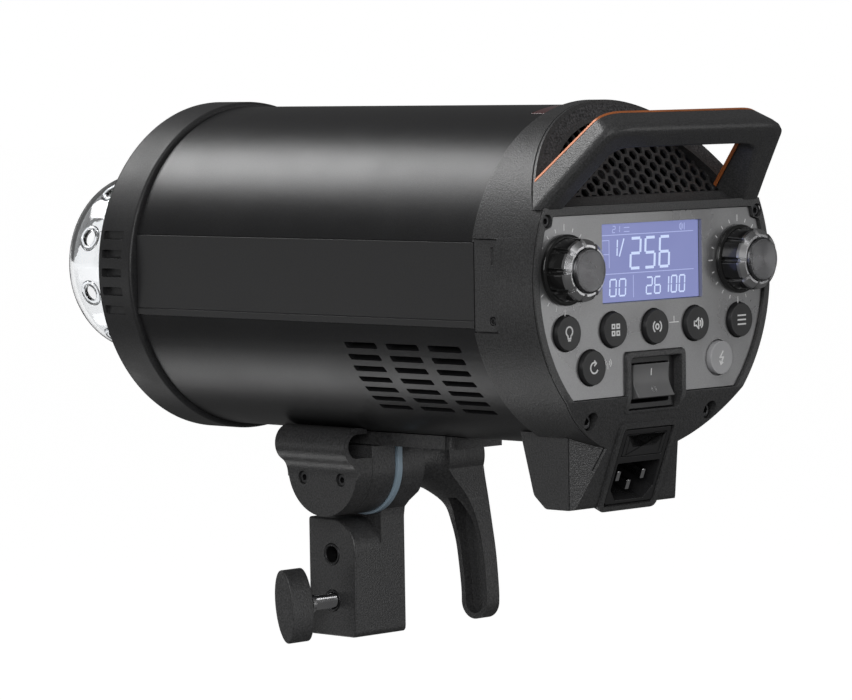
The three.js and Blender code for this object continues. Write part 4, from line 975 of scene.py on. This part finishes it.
# ---- mains inlet ----
def make_inlet():
    at = tail_frame(INLET_DZ)
    body = prism("inlet_shell", slab(-13.4, 13.4, -15.4, 15.4, 1.4), "y", -18, 0.6)
    recess = fillet([(-12, 1.6), (12, 1.6), (12, -9.4), (8, -14.0), (-8, -14.0), (-12, -9.4)],
                    [0.8] * 6, 3)
    carve(body, prism("recess", recess, "y", -15, 5),
          prism("drawer", slab(-11.4, 11.4, 4.2, 13.6, 0.5), "y", -16, 5))
    place(moved(body, at), SMOOTH, "inlet_body", edge=0.3)
    drawer = prism("fuse_tray", slab(-11.1, 11.1, 4.5, 13.3, 0.5), "y", -15.4, 0.7)
    cuts = [prism("pull", slab(-4.6, 4.6, 11.6, 14, 0.3, 2), "y", 0.1, 5)]
    for edges in ((-9.5, -8.9, 5.2, 12.6), (8.9, 9.5, 5.2, 12.6), (-6.2, 6.2, 8.3, 8.8)):
        cuts.append(prism("line", slab(*edges), "y", 0.35, 5))
    carve(drawer, gather("nicks", cuts))
    place(moved(drawer, at), KEY, "fuse_drawer", "fuse_drawer_body", edge=0.22)
    for name, x, s in (("live", -7, -5), ("neutral", 7, -5), ("earth", 0, -9)):
        pin = prism(f"blade_{name}", slab(x - 1, x + 1, s - 2, s + 2, 0.3, 2), "y", -14.8, -1.6)
        place(moved(pin, at), STEEL, f"inlet_pin_{name}", edge=0.25)


def make_screws():
    for row, (x, dz) in SCREWS.items():
        for side, hand in SIDES:
            node = f"panel_screw_{row}_{hand}"
            lo, hi = span(node)
            u, v, r = side * x, AXIS + dz, (hi.x - lo.x) / 2
            head = lathe("case_" + node[6:], fillet([(0, lo.y), (r, lo.y), (r, hi.y),
                                                     (0, hi.y)], [0, 0, 0.5, 0], 4), 48, u, v)
            drive = hex_drive(r * 0.5, "y", hi.y - 1.2, hi.y + 2, u, v)
            place(carve(head, drive), DULL, node, edge=0.12)


# ---- tilt head under the lamp ----
def d_outline(r, top, y, z):
    """A half round about (y, z), carried straight up to top."""
    return [(y - r, top), *arc(r, 180, 360, 48, y, z), (y + r, top)]


def make_tilt_head():
    ty, tz = pivot("head_tilt")
    for node, name, look, edge in (("tilt_head", "tilt_cheek", CAST, 0.5),
                                   ("friction_washer", "friction_disc", WASHER, 0.25)):
        lo, hi = span(node)
        o = prism(name, d_outline((hi.y - lo.y) / 2, hi.z, ty, tz), "x", lo.x, hi.x)
        carve(o, rod("bore", 4.3, -40, 40, ty, tz, "x"))
        place(o, look, node, edge=edge)
    lo, hi = span("umbrella_clamp")
    r = (hi.y - lo.y) / 2
    face = 23.8
    tube_x, tube_z, tube_r, bore = 23.4, 78.3, 7.4, 4.8
    floor = tube_z - bore
    plate = prism("umbrella_plate", d_outline(r, floor - 0.2, ty, tz), "x", lo.x, face)
    half = [(18.0, floor - 3.5)]
    a, b, c = Vector((face, 64.8)), Vector((24.0, 70.2)), Vector((27.3, 71.95))
    half += [tuple(bend(a, b, c, i / 9)) for i in range(9)]
    half += arc(tube_r, -58, 100, 44, tube_x, tube_z)
    half += [(17.7, tube_z + tube_r - 0.6), (17.7, tube_z + bore), (19.0, tube_z + bore)]
    half += [(tube_x, tube_z + bore), *arc(bore, 90, -90, 24, tube_x, tube_z), (17.0, floor),
             (17.0, floor - 3.5)]
    tube = prism("tube", half, "y", lo.y, hi.y)
    fuse(plate, tube)
    barrel = rod("barrel", TUBE_R + 0.3, lo.y - 1, hi.y + 1, 0, AXIS, "y", 256)
    sinks = [rod("sink", 2.7, face - 4, face + 3, y, z, "x", 40) for y, z in clamp_screws()]
    carve(plate, barrel, *sinks)
    place(plate, CAST, "umbrella_clamp", edge=0.6)
    for i, (y, z) in enumerate(clamp_screws()):
        head = rod(f"plate_screw_{i + 1}", 2.4, face - 6, face - 0.7, y, z, "x", 40)
        drive = hex_drive(1.25, "x", face - 2.8, face + 2, y, z)
        place(carve(head, drive), DULL, f"clamp_plate_screw_{i + 1}", edge=0.35)
    keep("base_plate", CAST, 0.3)
    keep("tilt_bolt", STEEL)


def clamp_screws():
    return [centre(f"clamp_plate_screw_{i}").yz for i in (1, 2)]


# ---- stand bracket ----
def make_bracket():
    ty, tz = pivot("head_tilt")
    lo, hi = span("stand_fork")
    half, top, disc = hi.x, 47.6, hi.z - tz
    side = [(-half, 0), (half, 0), (half, top - 13), *arc(13, 0, 90, 16, half - 13, top - 13),
            (-half, top)]
    side = fillet(side, [1.2, 2.5] + [0] * (len(side) - 3) + [1.2], 4)
    block = bevelled(prism("stand_block", side, "x", lo.x + 0.01, half), 1.9, 4)
    blend = [(half, tz - 22), (half + 0.6, tz - 18.2), (half + 3.2, tz - 15.6),
             (ty + disc * 0.80, tz - disc * 0.60)]
    leg = [(-half, 0), (half, 0), *blend, *arc(disc, -36, 180, 64, ty, tz)]
    leg = fillet(leg, [1.2, 2.5] + [0] * (len(leg) - 2), 4)
    fuse(block, prism("leg", leg, "x", lo.x, -1.5))
    carve(block, rod("socket", 8.15, -2, 38, 0, 0, "z", 96),
          *[rod("hole", 4.5, 4, half + 2, 0, z, "x", 48) for z in insert_heights()])
    place(block, CAST, "stand_fork", "stand_bracket", edge=0.7, segments=4)
    for node, z in zip(("clamp_insert", "spare_insert"), insert_heights()):
        i_lo, i_hi = span(node)
        sleeve = lathe("thread_" + node, fillet(
            [(3.2, i_lo.x), (4.4, i_lo.x), (4.4, i_hi.x), (3.2, i_hi.x)], [0, 0, 0.5, 0.5], 3),
            48, 0, z, True, "x")
        place(sleeve, DULL, node, "stand_bracket")
    s_lo, s_hi = span("clamp_screw")
    k_lo, k_hi = span("clamp_knob")
    z = insert_heights()[0]
    turns = [(0, s_lo.x), (2.6, s_lo.x)]
    x = s_lo.x + 0.8
    while x < k_lo.x - 3.6:
        turns += [(2.95, x), (2.6, x + 0.5)]
        x += 1.0
    turns += [(2.6, k_lo.x - 3.4), (4.1, k_lo.x - 3.0), (4.1, k_lo.x - 1.2), (3.1, k_lo.x - 0.9),
              (3.1, s_hi.x), (0, s_hi.x)]
    place(lathe("knob_screw", turns, 48, 0, z, axis="x"), STEEL, "clamp_screw", "stand_screw", angle=60)
    loop = [(5.3 * cos(TAU * i / 72), 14.7 * sin(TAU * i / 72)) for i in range(72)]
    knob = turn_x(prism("oval_knob", loop, "x", k_lo.x, k_hi.x), 7.5, 0, z)
    place(carve(knob, rod("hole", 3.25, k_lo.x - 1, k_lo.x + 5.3, 0, z, "x")), CAST,
          "clamp_knob", "stand_knob", edge=0.7)


def insert_heights():
    return [centre("clamp_insert").z, centre("spare_insert").z]


def make_lever():
    ty, tz = pivot("lever_turn")
    lo, hi = span("tilt_lever")
    back, tip = lo.x, lo.x + 7.5
    path = [(0.2, -1, 11.8), (2.2, -8, 10.9), (8.3, -17, 6.6), (9.75, -28, 7.15),
            (11.5, -40, 7.4), (12.95, -54, 7.25), (13.1, -59.8, 7.2)]

    def curve(points):
        out = []
        for i in range(len(points) - 1):
            p0 = Vector(points[max(i - 1, 0)])
            p1, p2 = Vector(points[i]), Vector(points[i + 1])
            p3 = Vector(points[min(i + 2, len(points) - 1)])
            for s in range(8):
                t = s / 8
                out.append(tuple(0.5 * ((2 * p1) + (p2 - p0) * t + (2 * p0 - 5 * p1 + 4 * p2 - p3) * t * t
                                        + (3 * p1 - p0 - 3 * p2 + p3) * t ** 3)))
        return out + [tuple(points[-1])]

    def paddle(inset, first, taper=0):
        rows = [(y, z, h - taper if i == 0 else h) for i, (y, z, h) in enumerate(path[first:])]
        ahead = curve([(ty + y - h + inset, tz + z) for y, z, h in rows])
        behind = curve([(ty + y + h - inset, tz + z) for y, z, h in rows])
        ey, ez, er = path[-1]
        return ahead[:-1] + arc(er - inset, 180, 360, 24, ty + ey, tz + ez) + behind[-2::-1]

    arm = prism("lever_arm", paddle(0, 0), "x", back, hi.x)
    fuse(arm, rod("disc", 13.3, back, hi.x, ty, tz, "x", 96))
    bevelled(arm, 1.0, 3)
    # The hub flares like a horn until it lies flat along the arm's front face.
    horn = curve([(80, tip), (46, tip - 0.1), (32, -48.0), (22.5, -44.6), (15.6, -38.4),
                  (12.7, -34.6), (10.9, -29.5), (9.6, -24), (9.0, -18)])
    horn = [(0, back - 1), (80, back - 1)] + horn + [(8.9, hi.x - 0.01), (0, hi.x - 0.01)]
    carve(arm, lathe("horn", horn, 160, ty, tz, axis="x"), how="INTERSECT")
    tool = prism("groove", paddle(2.3, 2, 2.6), "x", back + 3.2, -20)
    bore = rod("bore", 4.3, -40, 0, ty, tz, "x")
    carve(arm, tool, bore)
    place(arm, CAST, "tilt_lever", "lever", edge=0.35, angle=50)


# ---- inside ----
def make_inside():
    for node, look, edge in (("main_board", BOARD, 0.1), ("control_board", BOARD, 0.1),
                             ("capacitor_left", SLEEVE, 0.8), ("capacitor_right", SLEEVE, 0.8),
                             ("fan_frame", MOULD, 0.3), ("fan_rotor", SMOOTH, 0.2)):
        keep(node, look, edge)


# ---- camera, light, floor ----
def make_camera():
    az, el, roll, reach = rad(134.418), rad(3.751), rad(-0.924), 1.7237
    aim = Vector((0, 0.04174, 0.11584))
    back = Vector((sin(az) * cos(el), -cos(az) * cos(el), sin(el)))
    right = Vector((cos(az), sin(az), 0))
    up = back.cross(right)
    r2 = right * cos(roll) + up * sin(roll)
    u2 = up * cos(roll) - right * sin(roll)
    data = bpy.data.cameras.new("camera")
    data.lens, data.sensor_width = 183.98, 36.0
    data.clip_start, data.clip_end = 0.05, 50
    cam = linked("camera", data)
    turn = Matrix((r2, u2, back)).transposed().to_4x4()
    cam.matrix_world = Matrix.Translation(aim + back * reach) @ turn
    scene.camera = cam


def softbox(name, direction, distance, size, power):
    """A soft area light that faces the lamp's middle from a direction."""
    data = bpy.data.lights.new(name, "AREA")
    data.shape, data.size, data.size_y = "RECTANGLE", size[0], size[1]
    data.energy = power
    o = linked(name, data)
    d = Vector(direction).normalized()
    o.location = Vector((0, 0.03, 0.12)) + d * distance
    o.visible_camera = False
    o.rotation_mode = "QUATERNION"
    o.rotation_quaternion = d.to_track_quat("Z", "Y")


def make_floor():
    half, level = 20000, -260
    pale = finish("pale_floor", (0.2, 0.2, 0.2), 0.9, grain=3, bump=0.0, vary=0.01,
                  glow=(1, 1, 1), glow_strength=0.97)
    floor = build("floor", [(-half, -half, level), (half, -half, level), (half, half, level),
                            (-half, half, level)], [(0, 1, 2, 3)])
    floor.data.materials.append(pale)
    floor.visible_diffuse = floor.visible_glossy = floor.visible_shadow = False
    floor.visible_transmission = True


def make_sky():
    """White where the camera sees it, dim as a light."""
    world = bpy.data.worlds.new("studio")
    scene.world = world
    world.use_nodes = True
    nodes, links = world.node_tree.nodes, world.node_tree.links
    nodes.clear()
    mix = add(nodes, "MixShader")
    links.new(add(nodes, "LightPath").outputs["Is Camera Ray"], mix.inputs["Fac"])
    for slot, strength in ((1, 0.10), (2, 1.0)):
        light = add(nodes, "Background", {"Color": (1, 1, 1, 1), "Strength": strength})
        links.new(light.outputs[0], mix.inputs[slot])
    links.new(mix.outputs[0], add(nodes, "OutputWorld").inputs["Surface"])


def make_lights():
    softbox("top_front", (0.17, -0.70, 0.70), 1.3, (0.45, 0.5), 6.0)
    softbox("low_front", (0.15, -0.70, -0.66), 1.3, (0.4, 0.4), 1.2)
    softbox("panel_side", (-0.49, 0.87, 0.04), 1.3, (0.45, 0.9), 2.6)
    softbox("badge_side", (0.71, -0.70, -0.14), 1.5, (0.9, 0.30), 0.85)
    softbox("top_rear", (0.25, 0.55, 0.9), 1.3, (0.6, 0.6), 2.0)
    softbox("fill", (0.80, 0.60, 0.30), 1.8, (0.9, 0.9), 12.0)
    scene.view_settings.view_transform = "Standard"
    scene.view_settings.look = "None"


make_barrel()
make_ring()
make_dome()
make_lamps()
make_housing()
make_grille()
make_handle()
make_panel()
make_keys()
make_marks()
make_readout()
make_dials()
make_switch()
make_inlet()
make_screws()
make_tilt_head()
make_bracket()
make_lever()
make_inside()
make_camera()
make_floor()
make_sky()
make_lights()
